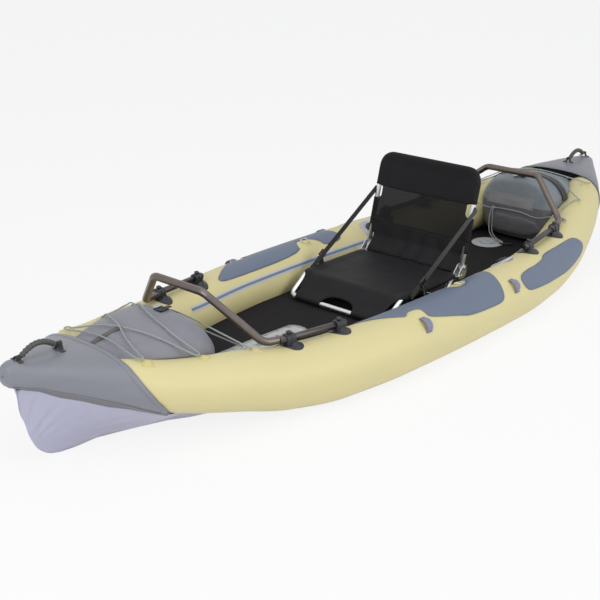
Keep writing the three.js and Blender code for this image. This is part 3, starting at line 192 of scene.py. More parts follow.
def closed(name, rows, endless=False):
    return turned_outward(grid_object(name, rows, ring=True, endless=endless, capped=not endless))


def swept(name, path, radius, sides=16, endless=False, section=None):
    """Round bar, or a bar of another section, along a path."""
    path = [Vector(p) for p in path]
    section = section or [(cos(2 * pi * n / sides), sin(2 * pi * n / sides)) for n in range(sides)]
    side = None
    rows = []
    for k, stop in enumerate(path):
        back = path[k - 1] if endless or k else path[k]
        ahead = path[(k + 1) % len(path)] if endless or k < len(path) - 1 else path[k]
        heading = ((stop - back).normalized() + (ahead - stop).normalized()).normalized()
        if side is None:
            guide = Vector((0, 0, 1)) if abs(heading.z) < 0.9 else Vector((1, 0, 0))
            side = heading.cross(guide).normalized()
        side = (side - heading * side.dot(heading)).normalized()
        up = heading.cross(side)
        thick = radius[k] if isinstance(radius, (list, tuple)) else radius
        rows.append([stop + side * a * thick + up * b * thick for a, b in section])
    return closed(name, rows, endless)


def rounded_path(points, rounds, endless=False):
    """Corners of a route cut off, and cut off again, until it runs round."""
    points = [Vector(p) for p in points]
    for _ in range(rounds):
        cut = []
        for a, b in zip(points, points[1:] + (points[:1] if endless else [])):
            cut += [a.lerp(b, 0.25), a.lerp(b, 0.75)]
        points = cut if endless else [points[0]] + cut[1:-1] + [points[-1]]
    return points


def route_length(points):
    return sum((b - a).length for a, b in zip(points, points[1:]))


def finish(name, colour, roughness, metallic=0.0, coat=0.0, sheen=0.0, gloss=0.5):
    """Plain material, with its node tree and its shader."""
    material = bpy.data.materials.new(name)
    material.use_nodes = True
    shader = material.node_tree.nodes["Principled BSDF"]
    for label, value in (("Base Color", (*colour, 1.0)), ("Roughness", roughness), ("Metallic", metallic),
                         ("Coat Weight", coat), ("Sheen Weight", sheen), ("Specular IOR Level", gloss)):
        shader.inputs[label].default_value = value
    return material, material.node_tree, shader


def shaded(colour, amount):
    return (*[min(1.0, c * amount) for c in colour], 1.0)


def two_tone(tree, shader, factor, dark, light):
    mix = node(tree, "Mix", {"Factor": factor, 6: dark, 7: light}, data_type="RGBA")
    tree.links.new(mix.outputs[2], shader.inputs["Base Color"])


def raise_by(tree, shader, height, strength, distance):
    bump = node(tree, "Bump", {"Height": height, "Strength": strength, "Distance": distance})
    tree.links.new(bump.outputs[0], shader.inputs["Normal"])


def waves(tree, place, scale, direction, distortion=0.0):
    return node(tree, "TexWave", {"Vector": place, "Scale": scale, "Distortion": distortion},
                bands_direction=direction)


def braided(name, colour, fleck, pitch):
    """Cord cover: two sets of strands crossing over the length, from the cord's own UV map."""
    material, tree, shader = finish(name, colour, 0.75, sheen=0.2)
    lay = node(tree, "UVMap", uv_map="lay")
    slant = node(tree, "Mapping", {"Vector": lay, "Scale": (1 / pitch, 1 / pitch, 1.0),
                                   "Rotation": (0.0, 0.0, radians(45))})
    woven = maths(tree, "MAXIMUM", waves(tree, slant, 0.5, "X"), waves(tree, slant, 0.5, "Y"))
    two_tone(tree, shader, woven, (*fleck, 1.0), (*colour, 1.0))
    raise_by(tree, shader, woven, 0.4, 0.0004)
    return material


def dressed(piece, body, material, slot, *nodes):
    """Finish, body and the solids that a piece stands for; the slot argument is not used."""
    if material is not None:
        piece.data.materials.clear()
        piece.data.materials.append(material)
    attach(piece, body)
    if nodes:
        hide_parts(*nodes)
    return piece


def in_metres(route):
    return [Vector(point) / 1000 for point in route]


cord_radius = 0.0025
bow_cord_route = in_metres([
    (-660, 17, 86), (-800, 58, 178), (-939, 100, 269), (-925, 180, 258), (-905, 256, 244),
    (-906, 265, 243), (-910, 271, 243), (-920, 271, 243), (-924, 265, 243), (-926, 256, 244),
    (-1025, 105, 323), (-1042, 78, 331), (-1073, 15, 336), (-1096, -51, 333), (-1105, -104, 325),
    (-1104, -146, 309), (-1071, -210, 262), (-1072, -217, 261), (-1076, -222, 260), (-1084, -222, 260),
    (-1088, -217, 261), (-1090, -210, 262), (-1143, -138, 306), (-1166, -94, 320), (-1184, -35, 326),
    (-1204, 38, 323), (-1222, 83, 314), (-1244, 158, 291), (-1245, 169, 292), (-1249, 176, 292),
    (-1259, 176, 292), (-1263, 169, 292), (-1264, 158, 291), (-1262, 73, 308), (-1261, 29, 314),
    (-1260, -37, 314), (-1261, -75, 308), (-1264, -158, 291), (-1263, -169, 292), (-1259, -176, 292),
    (-1249, -176, 292), (-1245, -169, 292), (-1244, -158, 291), (-1228, -78, 313), (-1205, -28, 324),
    (-1194, -2, 333), (-1175, 42, 328), (-1151, 97, 322), (-1130, 140, 309), (-1090, 210, 262),
    (-1087, 219, 262), (-1078, 226, 261), (-1060, 232, 258), (-1000, 256, 249), (-945, 284, 243),
    (-925, 287, 243), (-915, 280, 250), (-914, 270, 250), (-915, 258, 248), (-935, 175, 266),
    (-954, 87, 290), (-956, 39, 301), (-954, -49, 297), (-915, -262, 244), (-915, -275, 243),
])
stern_cord_route = in_metres([
    (878, 305, 245), (886, 298, 245), (902, 266, 246), (925, 213, 236), (962, 120, 200), (962, 97, 207),
    (962, 30, 211), (962, -43, 212), (962, -118, 196), (925, -213, 236), (902, -266, 246),
    (886, -296, 245), (882, -301, 245), (872, -300, 244), (880, -278, 245), (915, -242, 250),
    (945, -228, 250), (1000, -218, 260), (1045, -224, 274), (1066, -241, 282), (1072, -250, 279),
    (1082, -250, 279), (1086, -240, 280), (1115, -134, 330), (1129, -92, 345), (1148, -35, 350),
    (1174, 36, 343), (1234, 184, 313), (1236, 196, 312), (1230, 204, 310), (1160, 232, 291),
    (1098, 250, 280), (1086, 250, 278), (1080, 244, 278), (1082, 236, 278), (1114, 134, 330),
    (1126, 93, 346), (1145, 32, 355), (1173, -36, 350), (1234, -184, 313), (1242, -204, 311),
])
hook_loop_route = in_metres([
    (957, 99, 203), (952, 107, 180), (947, 106, 140), (938, 96, 104), (920, 70, 89), (892, 28, 89),
    (868, -4, 89), (873, -11, 89), (899, 21, 89), (930, 66, 90), (948, 90, 106), (956, 95, 140),
    (957, 96, 180), (960, 97, 200),
])
hook_route = in_metres([
    (868, -5, 89), (876, -18, 87), (886, -30, 84.5), (898, -42, 84.5), (906, -42, 84.5),
    (904, -34, 84.5),
])
elastic = braided("braided_elastic", tint(176, 184, 182), tint(92, 98, 100), 0.0016)
for cord_name, route, replaced in (("bow_elastic", bow_cord_route, "bow_lacing_cord"),
                                   ("stern_elastic", stern_cord_route, "stern_lacing_cord")):
    line = rounded_path(route, 2)
    strand = swept(cord_name, line, cord_radius, 12)
    dressed(strand, "hull", elastic, "elastic_cord", replaced)

loop_line = rounded_path(hook_loop_route, 2)
hook_strand = swept("hook_elastic", loop_line, cord_radius * 0.9, 12)
dressed(hook_strand, "hull", elastic, "elastic_cord", "stern_hook_loop")
hook_plastic = finish("hook_plastic", tint(24, 25, 28), 0.45)[0]
hook = swept("floor_hook", rounded_path(hook_route, 2), 0.0032, 12)
dressed(hook, "hull", hook_plastic, "hook_plastic")


# Side tubes. Two air chambers of coated polyester, welded along their length, rise and meet at both
# ends. Pale yellow, with a satin skin that shows a fine weave and soft puckers where it curves.
sides = (("port", -1), ("starboard", 1))
half_length, tube_radius, tube_spacing, end_rise = 1.6, 0.107, 0.383, 0.1935
station_shares = [0, 0.22, 0.375, 0.5, 0.594, 0.6875, 0.7625, 0.8375, 0.9, 0.95]
bow_shares = {
    "spacing": [1, 0.975, 0.9, 0.8, 0.695, 0.58, 0.48, 0.305, 0.145, 0.02],
    "rise": [0, 0, 0, 0.065, 0.205, 0.33, 0.475, 0.67, 0.845, 1],
    "radius": [1, 1, 1, 0.935, 0.865, 0.775, 0.69, 0.625, 0.565, 0.52],
}
stern_shares = {
    "spacing": [1, 0.985, 0.9, 0.8, 0.695, 0.575, 0.455, 0.29, 0.135, 0.02],
    "rise": [0, 0, 0.005, 0.09, 0.225, 0.405, 0.575, 0.755, 0.9, 1],
    "radius": [1, 1, 1, 0.963, 0.907, 0.835, 0.755, 0.665, 0.58, 0.515],
}
tube_end_share = 0.862
tube_end_round = 1.1 * tube_radius
mouth_heights = [-0.1, 0.5, 0.65, 0.806, 0.945, 1.078, 1.242, 1.42, 1.6, 3]
mouth_places = [0.752, 0.753, 0.7605, 0.7755, 0.789, 0.7985, 0.8085, 0.8145, 0.8157, 0.8157]
covered_sink = 0.004


def clamped(value):
    return max(0.0, min(1.0, value))


def rough(x, y, z):
    return noise.noise(Vector((x, y, z)))


def smooth(places, values, place):
    """Cubic through a table, with no overshoot, and straight on past its end."""
    last = len(places) - 1

    def slope(n):
        return (values[n + 1] - values[n]) / (places[n + 1] - places[n])

    def tangent(n):
        if n == 0:
            return 0.0
        if n == last:
            return slope(last - 1)
        before, after = slope(n - 1), slope(n)
        return 0.0 if before * after <= 0 else 2 * before * after / (before + after)

    if place >= places[last]:
        return values[last] + slope(last - 1) * (place - places[last])
    k = 0
    while place > places[k + 1]:
        k += 1
    width = places[k + 1] - places[k]
    t = max(0.0, (place - places[k]) / width)
    low = values[k] * (1 + 2 * t) * (1 - t) ** 2 + tangent(k) * width * t * (1 - t) ** 2
    return low + values[k + 1] * t * t * (3 - 2 * t) + tangent(k + 1) * width * t * t * (t - 1)


def linear(places, values, place):
    for k in range(1, len(places)):
        if place <= places[k]:
            t = max(0.0, (place - places[k - 1]) / (places[k] - places[k - 1]))
            return values[k - 1] * (1 - t) + values[k] * t
    return values[-1]


def tube_at(x):
    """Half spacing, height and radius of the side tubes at a place along the boat."""
    shares = bow_shares if x < 0 else stern_shares
    spacing, rise, radius = (smooth(station_shares, shares[key], abs(x) / half_length)
                             for key in ("spacing", "rise", "radius"))
    return tube_spacing * spacing, tube_radius + end_rise * rise, tube_radius * radius


def tube_end_at(x):
    """The same for a tube's skin, which closes to a round cap inside the cover."""
    y, z, radius = tube_at(x)
    from_end = clamped((tube_end_share * half_length - abs(x)) / tube_end_round)
    return y, z, radius * (0.6 * sqrt(1 - (1 - from_end) ** 2) + 0.4)


def on_tube(side, x, degrees, lift=0.0):
    """Point, normal and heading on a tube's skin; the angle is in degrees outboard from the top."""
    step = tube_radius / 50
    y, z, radius = tube_at(x)
    ahead, behind = tube_at(x + step), tube_at(x - step)
    heading = Vector((2 * step, side * (ahead[0] - behind[0]), ahead[1] - behind[1])).normalized()
    outboard = Vector((-heading.y, heading.x, 0.0)).normalized() * side
    up = heading.cross(outboard) * side
    angle = radians(degrees)
    normal = (outboard * sin(angle) + up * cos(angle)).normalized()
    return Vector((x, side * y, z)) + normal * (radius + lift), normal, heading


def object_place(tree):
    return node(tree, "TexCoord").outputs["Object"]


def woven_relief(tree, shader, folds, threads, thread_depth, strength):
    """Bump of a cloth: its folds, with the fine relief of its threads on top."""
    fine = maths(tree, "MULTIPLY", threads, thread_depth)
    raise_by(tree, shader, maths(tree, "ADD", folds, fine), strength, 0.012)


def coated_cloth(name, colour, darkest=0.9, roughness=0.5, pucker=0.25, weave=0.0011, stains=3.0, gloss=0.5):
    """Coated fabric: a fine crossed weave, soft puckers and a slightly uneven colour."""
    material, tree, shader = finish(name, colour, roughness, gloss=gloss)
    place = object_place(tree)
    cloud = node(tree, "TexNoise", {"Vector": place, "Scale": stains, "Detail": 5.0})
    two_tone(tree, shader, cloud, shaded(colour, darkest), shaded(colour, 2 - darkest))
    warp, weft = (waves(tree, place, 0.5 / weave, direction, 0.4) for direction in "XZ")
    stretched = node(tree, "Mapping", {"Vector": place, "Scale": (1.0, 2.4, 2.4)})
    folds = node(tree, "TexNoise", {"Vector": stretched, "Scale": 9.0, "Detail": 3.0})
    woven_relief(tree, shader, folds, maths(tree, "ADD", warp, weft), 0.02, pucker)
    return material


yellow_cloth = coated_cloth("yellow_coated_cloth", tint(222, 211, 157), 0.965, 0.44, 0.2)
yellow_weld = coated_cloth("yellow_weld_patch", tint(217, 205, 146), 0.95, 0.5, 0.1)
tube_reach = tube_end_share * half_length
for side_name, side in sides:
    rows = []
    for x in even(-tube_reach, tube_reach, 150):
        closing = tube_end_at(x)[2] - tube_at(x)[2]
        row = []
        for n in range(56):
            lift = closing + 0.0007 * rough(x * 9, side * n / 7, 3.0)
            point = on_tube(side, x, 360 * n / 56, lift)[0]
            inside = abs(point.x) / half_length - smooth(mouth_heights, mouth_places, point.z / end_rise)
            lift -= covered_sink * clamped((inside - 0.004) / 0.006)
            row.append(on_tube(side, x, 360 * n / 56, lift)[0])
        rows.append(row)
    tube = closed(side_name + "_tube", rows)
    dressed(tube, "hull", yellow_cloth, "tube_fabric", side_name + "_side_tube")


# Seam tape. A welded tape runs along the inner side of each tube beside the cockpit:
# a slate band between two pale edges.
def tube_strip(name, side, span, band, lift, thick):
    """Thin strip welded along a tube, with its edges brought down to the skin."""
    rows = [[on_tube(side, x, degrees, lift + (thick if 0 < n < 4 and 0 < k < 90 else 0.0))[0]
             for n, degrees in enumerate(even(*band, 4))] for k, x in enumerate(even(*span, 90))]
    return turned_outward(grid_object(name, rows), on_tube(side, span[0], sum(band) / 2)[1])


tape_pale = coated_cloth("pale_seam_tape", tint(196, 201, 206), 0.95, 0.5, 0.1)
tape_slate = coated_cloth("slate_seam_tape", tint(118, 130, 152), 0.93, 0.5, 0.1)
for side_name, side in sides:
    for part_name, band, lift, material, slot in (
            ("_tape_edges", (-64.5, -52.5), 0.0008, tape_pale, "tube_fabric"),
            ("_tape_band", (-61.0, -56.0), 0.0014, tape_slate, "rub_patch")):
        strip = tube_strip(side_name + part_name, side, (-0.70, 0.35), band, lift, 0.0004)
        dressed(strip, "hull", material, slot)


# Lacing tabs. Small welded tabs stand on both tubes beside the bags, and the elastic cords turn
# round them. Each is a yellow base patch with a raised loop of the same fabric.
def shape_object(name, shape, sharp=None):
    """Object made of a finished bmesh, smooth but for the edges over an angle, if one is given."""
    mesh = bpy.data.meshes.new(name)
    shape.to_mesh(mesh)
    shape.free()
    if sharp:
        mesh.shade_smooth()
        mesh.set_sharp_from_angle(angle=radians(sharp))
    return new_object(name, mesh)


def rounded_block(name, size, corner, place):
    """Block with rounded edges, standing on its own base, carried to its place by a matrix."""
    shape = bmesh.new()
    bmesh.ops.create_cube(shape, size=1.0)
    bmesh.ops.scale(shape, vec=Vector(size), verts=shape.verts)
    bmesh.ops.translate(shape, vec=Vector((0, 0, size[2] / 2)), verts=shape.verts)
    bmesh.ops.bevel(shape, geom=shape.edges[:], offset=corner, segments=3, affect="EDGES", profile=0.5)
    bmesh.ops.transform(shape, matrix=place, verts=shape.verts)
    return shape_object(name, shape, 50)


def stood(point, normal, heading):
    """Matrix of a place on a skin, its X ahead and its Z outward."""
    aside = normal.cross(heading).normalized()
    ahead = aside.cross(normal).normalized()
    return Matrix.Translation(point) @ Matrix((ahead, aside, normal)).transposed().to_4x4()


def joined(name, pieces, sharp=None):
    """Several pieces of one finish made one mesh."""
    shape = bmesh.new()
    for piece in pieces:
        shape.from_mesh(piece.data)
        bpy.data.objects.remove(piece, do_unlink=True)
    return shape_object(name, shape, sharp)


lace_tab = (((0.034, 0.038, 0.0058), 0.0014), ((0.02, 0.024, 0.0093), 0.003))
ring_tab = (((0.034, 0.03, 0.0058), 0.0014), ((0.018, 0.014, 0.0122), 0.0035))
ring_share, ring_degrees = 0.025, -16
tabs = [(share, degrees, lace_tab) for share, degrees in (
    (-0.784, 8), (-0.675, -2), (-0.572, -8), (0.549, -10), (0.6725, 5), (0.7775, 12))]
for side_name, side in sides:
    blocks = []
    for share, degrees, parts in tabs + [(ring_share, ring_degrees, ring_tab)]:
        place = stood(*on_tube(side, share * half_length, degrees, -0.0045))
        blocks += [rounded_block("tab", size, corner, place) for size, corner in parts]
    dressed(joined(side_name + "_tabs", blocks), "hull", yellow_weld, "tube_fabric")


# Rub patches. Slate panels of tougher cloth are welded on the tubes where the paddle and the hands
# rub. The front one is cut out round the D-ring, and both have rounded corners.
def thickened(piece, thick, offset=-1.0):
    wall = piece.modifiers.new("thickness", "SOLIDIFY")
    wall.thickness, wall.offset = thick, offset
    return piece


def cut_panel(name, outline, spacing, placed, thick):
    """Flat outline filled with small faces, carried to its surface and given its thickness."""
    ring = []
    for here, after in zip(outline, outline[1:] + outline[:1]):
        steps = max(1, round(dist(here, after) / spacing))
        ring += [(here[0] + (after[0] - here[0]) * n / steps, here[1] + (after[1] - here[1]) * n / steps)
                 for n in range(steps)]
    edges = list(zip(ring, ring[1:] + ring[:1]))
    low = [min(p[k] for p in outline) for k in (0, 1)]
    high = [max(p[k] for p in outline) for k in (0, 1)]
    counts = [int((high[k] - low[k]) / spacing) + 1 for k in (0, 1)]
    spots = [Vector(p) for p in ring]
    for x in even(low[0], high[0], counts[0])[1:-1]:
        for y in even(low[1], high[1], counts[1])[1:-1]:
            crossed = sum((y0 > y) != (y1 > y) and x < x0 + (y - y0) / (y1 - y0) * (x1 - x0)
                          for (x0, y0), (x1, y1) in edges)
            if crossed % 2 and min(hypot(x0 - x, y0 - y) for x0, y0 in ring) >= spacing * 0.6:
                spots.append(Vector((x, y)))
    links = [(k, (k + 1) % len(ring)) for k in range(len(ring))]
    filled = geometry.delaunay_2d_cdt(spots, links, [], 1, 1e-7)
    mesh = bpy.data.meshes.new(name)
    mesh.from_pydata([tuple(placed(p[0], p[1])) for p in filled[0]], [], [tuple(f) for f in filled[2]])
    layer = mesh.uv_layers.new(name="lay")
    for loop in mesh.loops:
        layer.data[loop.index].uv = filled[0][loop.vertex_index]
    mesh.shade_smooth()
    return thickened(new_object(name, mesh), thick, 0.0)


def rounded_outline(points, rounds):
    return [(p.x, p.y) for p in rounded_path([(a, b, 0.0) for a, b in points], rounds, endless=True)]


front_patch = [
    (-0.3125, -28), (-0.275, -10), (-0.236, 6), (-0.203, 21), (-0.19, 9), (-0.151, 11), (-0.152, 31),
    (-0.147, 39), (-0.0625, 58), (-0.031, 66), (0.079, 70), (0.099, 65), (0.106, 51), (0.119, 19),
    (0.1375, -14), (0.131, -38), (0.066, -38), (0.0625, -20), (0.041, -3), (0.0125, 2), (-0.006, -8),
    (-0.019, -38), (-0.275, -38),
]
rear_patch = [
    (0.1875, 32), (0.1889, 71), (0.245, 77), (0.374, 85), (0.5, 87), (0.54, 75), (0.52, 48),
    (0.4875, 34), (0.3375, 22), (0.3125, 34),
]
degree_length = radians(1) * tube_radius
slate_cloth = coated_cloth("slate_coated_cloth", tint(104, 116, 136), 0.94, 0.5, 0.14)
for side_name, side in sides:
    for patch_name, outline in (("_front", front_patch), ("_rear", rear_patch)):
        flat = rounded_outline([(a * half_length, b * degree_length) for a, b in outline], 2)
        patch = cut_panel(side_name + patch_name + "_patch", flat, 0.011,
                          lambda x, way: on_tube(side, x, way / degree_length, 0.0019)[0], 0.0013)
        turned_outward(patch, Vector((0, side, 1)))
        dressed(patch, "hull", slate_cloth, "rub_patch", side_name + patch_name + "_rub_patch")


# Stitches, ribs and marks. One Geometry Nodes tree sets copies of a small piece at an even
# spacing along a line. The result is made a plain mesh, so that nothing stays instanced.
def repeating_tree():
    tree = bpy.data.node_groups.new("set_along_a_line", "GeometryNodeTree")
    for label, way, kind in (("Line", "INPUT", "Geometry"), ("Small Piece", "INPUT", "Object"),
                             ("Spacing", "INPUT", "Float"), ("Finish", "INPUT", "Material"),
                             ("Geometry", "OUTPUT", "Geometry")):
        tree.interface.new_socket(label, in_out=way, socket_type="NodeSocket" + kind)
    inlet = tree.nodes.new("NodeGroupInput").outputs
    line = node(tree, "GeometryNodeMeshToCurve", {"Mesh": inlet["Line"]})
    points = node(tree, "GeometryNodeCurveToPoints", {"Curve": line, "Length": inlet["Spacing"]},
                  mode="LENGTH")
    small = node(tree, "GeometryNodeObjectInfo", {"Object": inlet["Small Piece"]})
    copies = node(tree, "GeometryNodeInstanceOnPoints", {
        "Points": points.outputs["Points"], "Instance": small.outputs["Geometry"],
        "Rotation": points.outputs["Rotation"]})
    real = node(tree, "GeometryNodeRealizeInstances", {"Geometry": copies})
    finished = node(tree, "GeometryNodeSetMaterial", {"Geometry": real, "Material": inlet["Finish"]})
    node(tree, "NodeGroupOutput", {"Geometry": finished})
    return tree


set_along = repeating_tree()


def evaluated_mesh(source):
    """Final mesh of an object, which is then removed."""
    bpy.context.view_layer.update()
    made = bpy.data.meshes.new_from_object(source.evaluated_get(bpy.context.evaluated_depsgraph_get()))
    bpy.data.objects.remove(source, do_unlink=True)
    return made


def repeated(name, paths, small_piece, spacing, material):
    """Copies of a small piece along one or more lines; its own Z lies along the line."""
    points = []
    edges = []
    for path in paths:
        edges += [(len(points) + k, len(points) + k + 1) for k in range(len(path) - 1)]
        points += [tuple(p) for p in path]
    mesh = bpy.data.meshes.new(name)
    mesh.from_pydata(points, edges, [])
    line = new_object(name + "_line", mesh)
    modifier = line.modifiers.new("set along", "NODES")
    modifier.node_group = set_along
    given = {"Small Piece": small_piece, "Spacing": spacing, "Finish": material}
    for item in set_along.interface.items_tree:
        if item.name in given:
            modifier[item.identifier] = given[item.name]
    made = evaluated_mesh(line)
    made.name = name
    made.shade_smooth()
    return new_object(name, made)


def lathed(name, profile, place=Matrix.Identity(4), segments=72, sharp=40):
    """Shape turned about its own Z and carried to its place by a matrix; profiles end on the axis."""
    piece = closed(name, [[
        place @ Vector((radius * cos(2 * pi * n / segments), radius * sin(2 * pi * n / segments), height))
        for n in range(segments)] for radius, height in profile])
    if sharp:
        piece.data.set_sharp_from_angle(angle=radians(sharp))
    return piece


stitch_length, stitch_half = 0.0042, 0.00055
stitch = lathed("one_stitch", [(stitch_half * (1 - (2 * part) ** 2 * 0.7), part * stitch_length)
                               for part in (-0.5, -0.3, 0.0, 0.3, 0.5)], segments=6, sharp=None)
black_thread = finish("black_thread", tint(40, 41, 46), 0.7)[0]
grey_thread = finish("grey_thread", tint(120, 124, 132), 0.7)[0]


# Webbing loops. Short lilac webbing loops for tie-down lines stand on the outer side of each tube,
# stitched down flat at both ends. The webbing is 28 mm wide with a ribbed weave.
def webbing(name, colour, darkest=0.72, pitch=0.0022, roughness=0.72):
    """Woven strap: ribs across it from its UV map, and darker lines along its edges."""
    material, tree, shader = finish(name, colour, roughness, sheen=0.3)
    lay = node(tree, "UVMap", uv_map="lay")
    woven = maths(tree, "MULTIPLY", waves(tree, lay, 0.5 / pitch, "X"), waves(tree, lay, 0.35 / pitch, "Y"))
    two_tone(tree, shader, woven, shaded(colour, darkest), shaded(colour, 1.12))
    raise_by(tree, shader, woven, 0.45, 0.0006)
    return material


def signed_power(value, power):
    return copysign(abs(value) ** power, value)


def strap_section(width, skin):
    """Rounded flat section, wide along the sweep's side and thin along its up."""
    angles = [2 * pi * k / 16 for k in range(16)]
    return [(width / 2 * signed_power(cos(a), 0.35), skin / 2 * signed_power(sin(a), 0.6)) for a in angles]


lilac_webbing = webbing("lilac_webbing", tint(142, 146, 176))
loop_section = strap_section(0.028, 0.0026)
loop_lift, loop_rise, loop_seam_half = 0.0022, 0.014, 0.012
seams = []
for side_name, side in sides:
    for loop_name, share, start, stop in (("_front", -0.172, 33, 63), ("_rear", 0.153, 36, 65)):
        x = share * half_length
        rows = []
        for part in even(0, 1, 40):
            lift = loop_lift + loop_rise * sin(pi * clamped((part - 0.1) / 0.8)) ** 0.55
            rows.append([on_tube(side, x + wide, start + (stop - start) * part, lift + layer)[0]
                         for wide, layer in loop_section])
        loop = closed(side_name + loop_name + "_webbing", rows)
        dressed(loop, "hull", lilac_webbing, "loop_webbing", side_name + loop_name + "_loop")
        for degrees in (start + 1.2, stop - 1.2):
            seams.append([on_tube(side, place, degrees, 0.0036)[0]
                          for place in even(x - loop_seam_half, x + loop_seam_half, 6)])
dressed(repeated("loop_stitches", seams, stitch, 0.0055, black_thread), "hull", None, "loop_webbing")


# D-rings. A stainless ring of 4 mm wire swings in a welded tab on top of each tube.
def metal(name, colour, roughness, scratch=0.12):
    """Bare or anodised metal with faint streaks."""
    material, tree, shader = finish(name, colour, roughness, metallic=1.0)
    streaks = node(tree, "TexNoise", {"Vector": object_place(tree), "Scale": 60.0, "Detail": 4.0})
    two_tone(tree, shader, streaks, shaded(colour, 0.86), shaded(colour, 1.1))
    spread = node(tree, "MapRange", {"Value": streaks, "To Min": roughness - scratch / 2,
                                     "To Max": roughness + scratch})
    tree.links.new(spread.outputs[0], shader.inputs["Roughness"])
    return material


def bend(start, corner, stop, steps):
    return [start * (1 - t) ** 2 + corner * 2 * t * (1 - t) + stop * t * t for t in even(0, 1, steps)]


stainless = metal("stainless_wire", tint(205, 206, 208), 0.25)
ring_half_width, ring_reach, ring_wire = 0.016, 0.026, 0.002
corners = [Vector(p) for p in ((ring_half_width, 0.0), (ring_half_width, ring_reach),
                               (-ring_half_width, ring_reach), (-ring_half_width, 0.0))]
ring_line = []
for k, corner in enumerate(corners):
    cut = ring_half_width * (0.5 if k in (1, 2) else 0.25)
    start, stop = (corner + (other - corner).normalized() * cut
                   for other in (corners[k - 1], corners[(k + 1) % 4]))
    ring_line += bend(start, corner, stop, 8)
for side_name, side in sides:
    point, normal, heading = on_tube(side, ring_share * half_length, ring_degrees, 0.004)
    aside = normal.cross(heading).normalized()
    outboard = aside * copysign(1.0, aside.y * side)
    route = [point + heading * p.x + outboard * p.y for p in ring_line]
    ring = swept(side_name + "_ring", route, ring_wire, 12, endless=True)
    dressed(ring, side_name + "_ring", stainless, "ring_steel", side_name + "_d_ring")


# Tube valves. A moulded grey flange is let into each tube beside the rear frame, with a black seat
# and a quarter-turn cap that has a grip bar across it.
def moulded(name, colour, roughness=0.42, grain=900.0, coat=0.1):
    """Moulded plastic with a faint grain."""
    material, tree, shader = finish(name, colour, roughness, coat=coat)
    place = object_place(tree)
    cloud = node(tree, "TexNoise", {"Vector": place, "Scale": 14.0, "Detail": 3.0})
    two_tone(tree, shader, cloud, shaded(colour, 0.93), shaded(colour, 1.06))
    skin = node(tree, "TexNoise", {"Vector": place, "Scale": grain, "Detail": 1.0})
    raise_by(tree, shader, skin, 0.12, 0.0004)
    return material


axis = 0.0001
flange_profile = [(axis, -0.004), (0.045, -0.004), (0.0455, 0.0012), (0.044, 0.003), (0.0405, 0.0042),
                  (0.031, 0.0048), (0.03, 0.0036), (0.0255, 0.0036), (0.025, 0.005), (axis, 0.005)]
cap_profile = [(axis, 0.0054), (0.0215, 0.0054), (0.023, 0.0064), (0.023, 0.0105),
               (0.0214, 0.0122), (0.0165, 0.0124), (0.0155, 0.0108), (axis, 0.0108)]
valve_grey = moulded("valve_grey", tint(186, 189, 200), 0.4)
valve_black = moulded("valve_black", tint(30, 31, 35), 0.4)
for side_name, side in sides:
    place = stood(*on_tube(side, 0.393, -33))
    flange = lathed(side_name + "_flange", flange_profile, place)
    dressed(flange, "hull", valve_grey, "valve_plastic", side_name + "_valve")
    parts = [lathed("cap", cap_profile, place)]
    for size, corner, shift in (((0.031, 0.006, 0.0042), 0.0012, (0, 0, 0.0102)),
                                ((0.012, 0.006, 0.003), 0.0008, (0.0235, 0, 0.0054))):
        parts.append(rounded_block("bar", size, corner, place @ Matrix.Translation(shift)))
    cap = joined(side_name + "_cap_piece", parts, 40)
    dressed(cap, side_name + "_cap", valve_black, "valve_plastic", side_name + "_valve_cap")


# Hull skin. Lavender coated cloth closes the boat below: flat under the cockpit, drawn down to a
# sharp keel at each end and up round the stem. It is welded to the tubes and to the end covers.
ends = (("bow", -1), ("stern", 1))
rim_angle = radians(11)
rim_from_share = 0.6875
rim_shares = {
    "at": [0.759, 0.775, 0.82, 0.8525, 0.8925, 0.922, 0.95, 0.975, 1],
    "half": [0.574, 0.522, 0.47, 0.392, 0.313, 0.209, 0.13, 0.052, 0.03],
    "height": [0.5685, 0.62, 0.791, 0.873, 1.034, 1.111, 1.24, 1.292, 1.38],
}
keel_shares = {
    "at": [0.85, 0.889, 0.914, 0.938, 0.956, 0.964, 0.972, 0.9744],
    "height": [0, 0.02, 0.062, 0.186, 0.46, 0.713, 0.894, 1.25],
}
flat_shares = {
    "at": [0.375, 0.5, 0.6, 0.6375, 0.675, 0.7375, 0.819],
    "half": [0.82, 0.653, 0.347, 0.287, 0.196, 0.104, 0],
}
keel_edge = 0.003
skin_from_share, stem_from_share, stem_to_share = 0.375, 0.914, 0.9744
foot_share, foot_height = 0.955, 0.02


def bottom_rim(x):
    """Half width and height of the line where the skin meets the tube, and then the cover."""
    share = abs(x) / half_length
    y, z, radius = tube_at(copysign(min(share, rim_from_share) * half_length, x or 1))
    half, height = y - radius * sin(rim_angle), z - radius * cos(rim_angle)
    if share <= rim_from_share:
        return half, height
    places = [rim_from_share, *rim_shares["at"]]
    return (linear(places, [half, *[s * tube_spacing for s in rim_shares["half"]]], share),
            linear(places, [height, *[s * end_rise for s in rim_shares["height"]]], share))


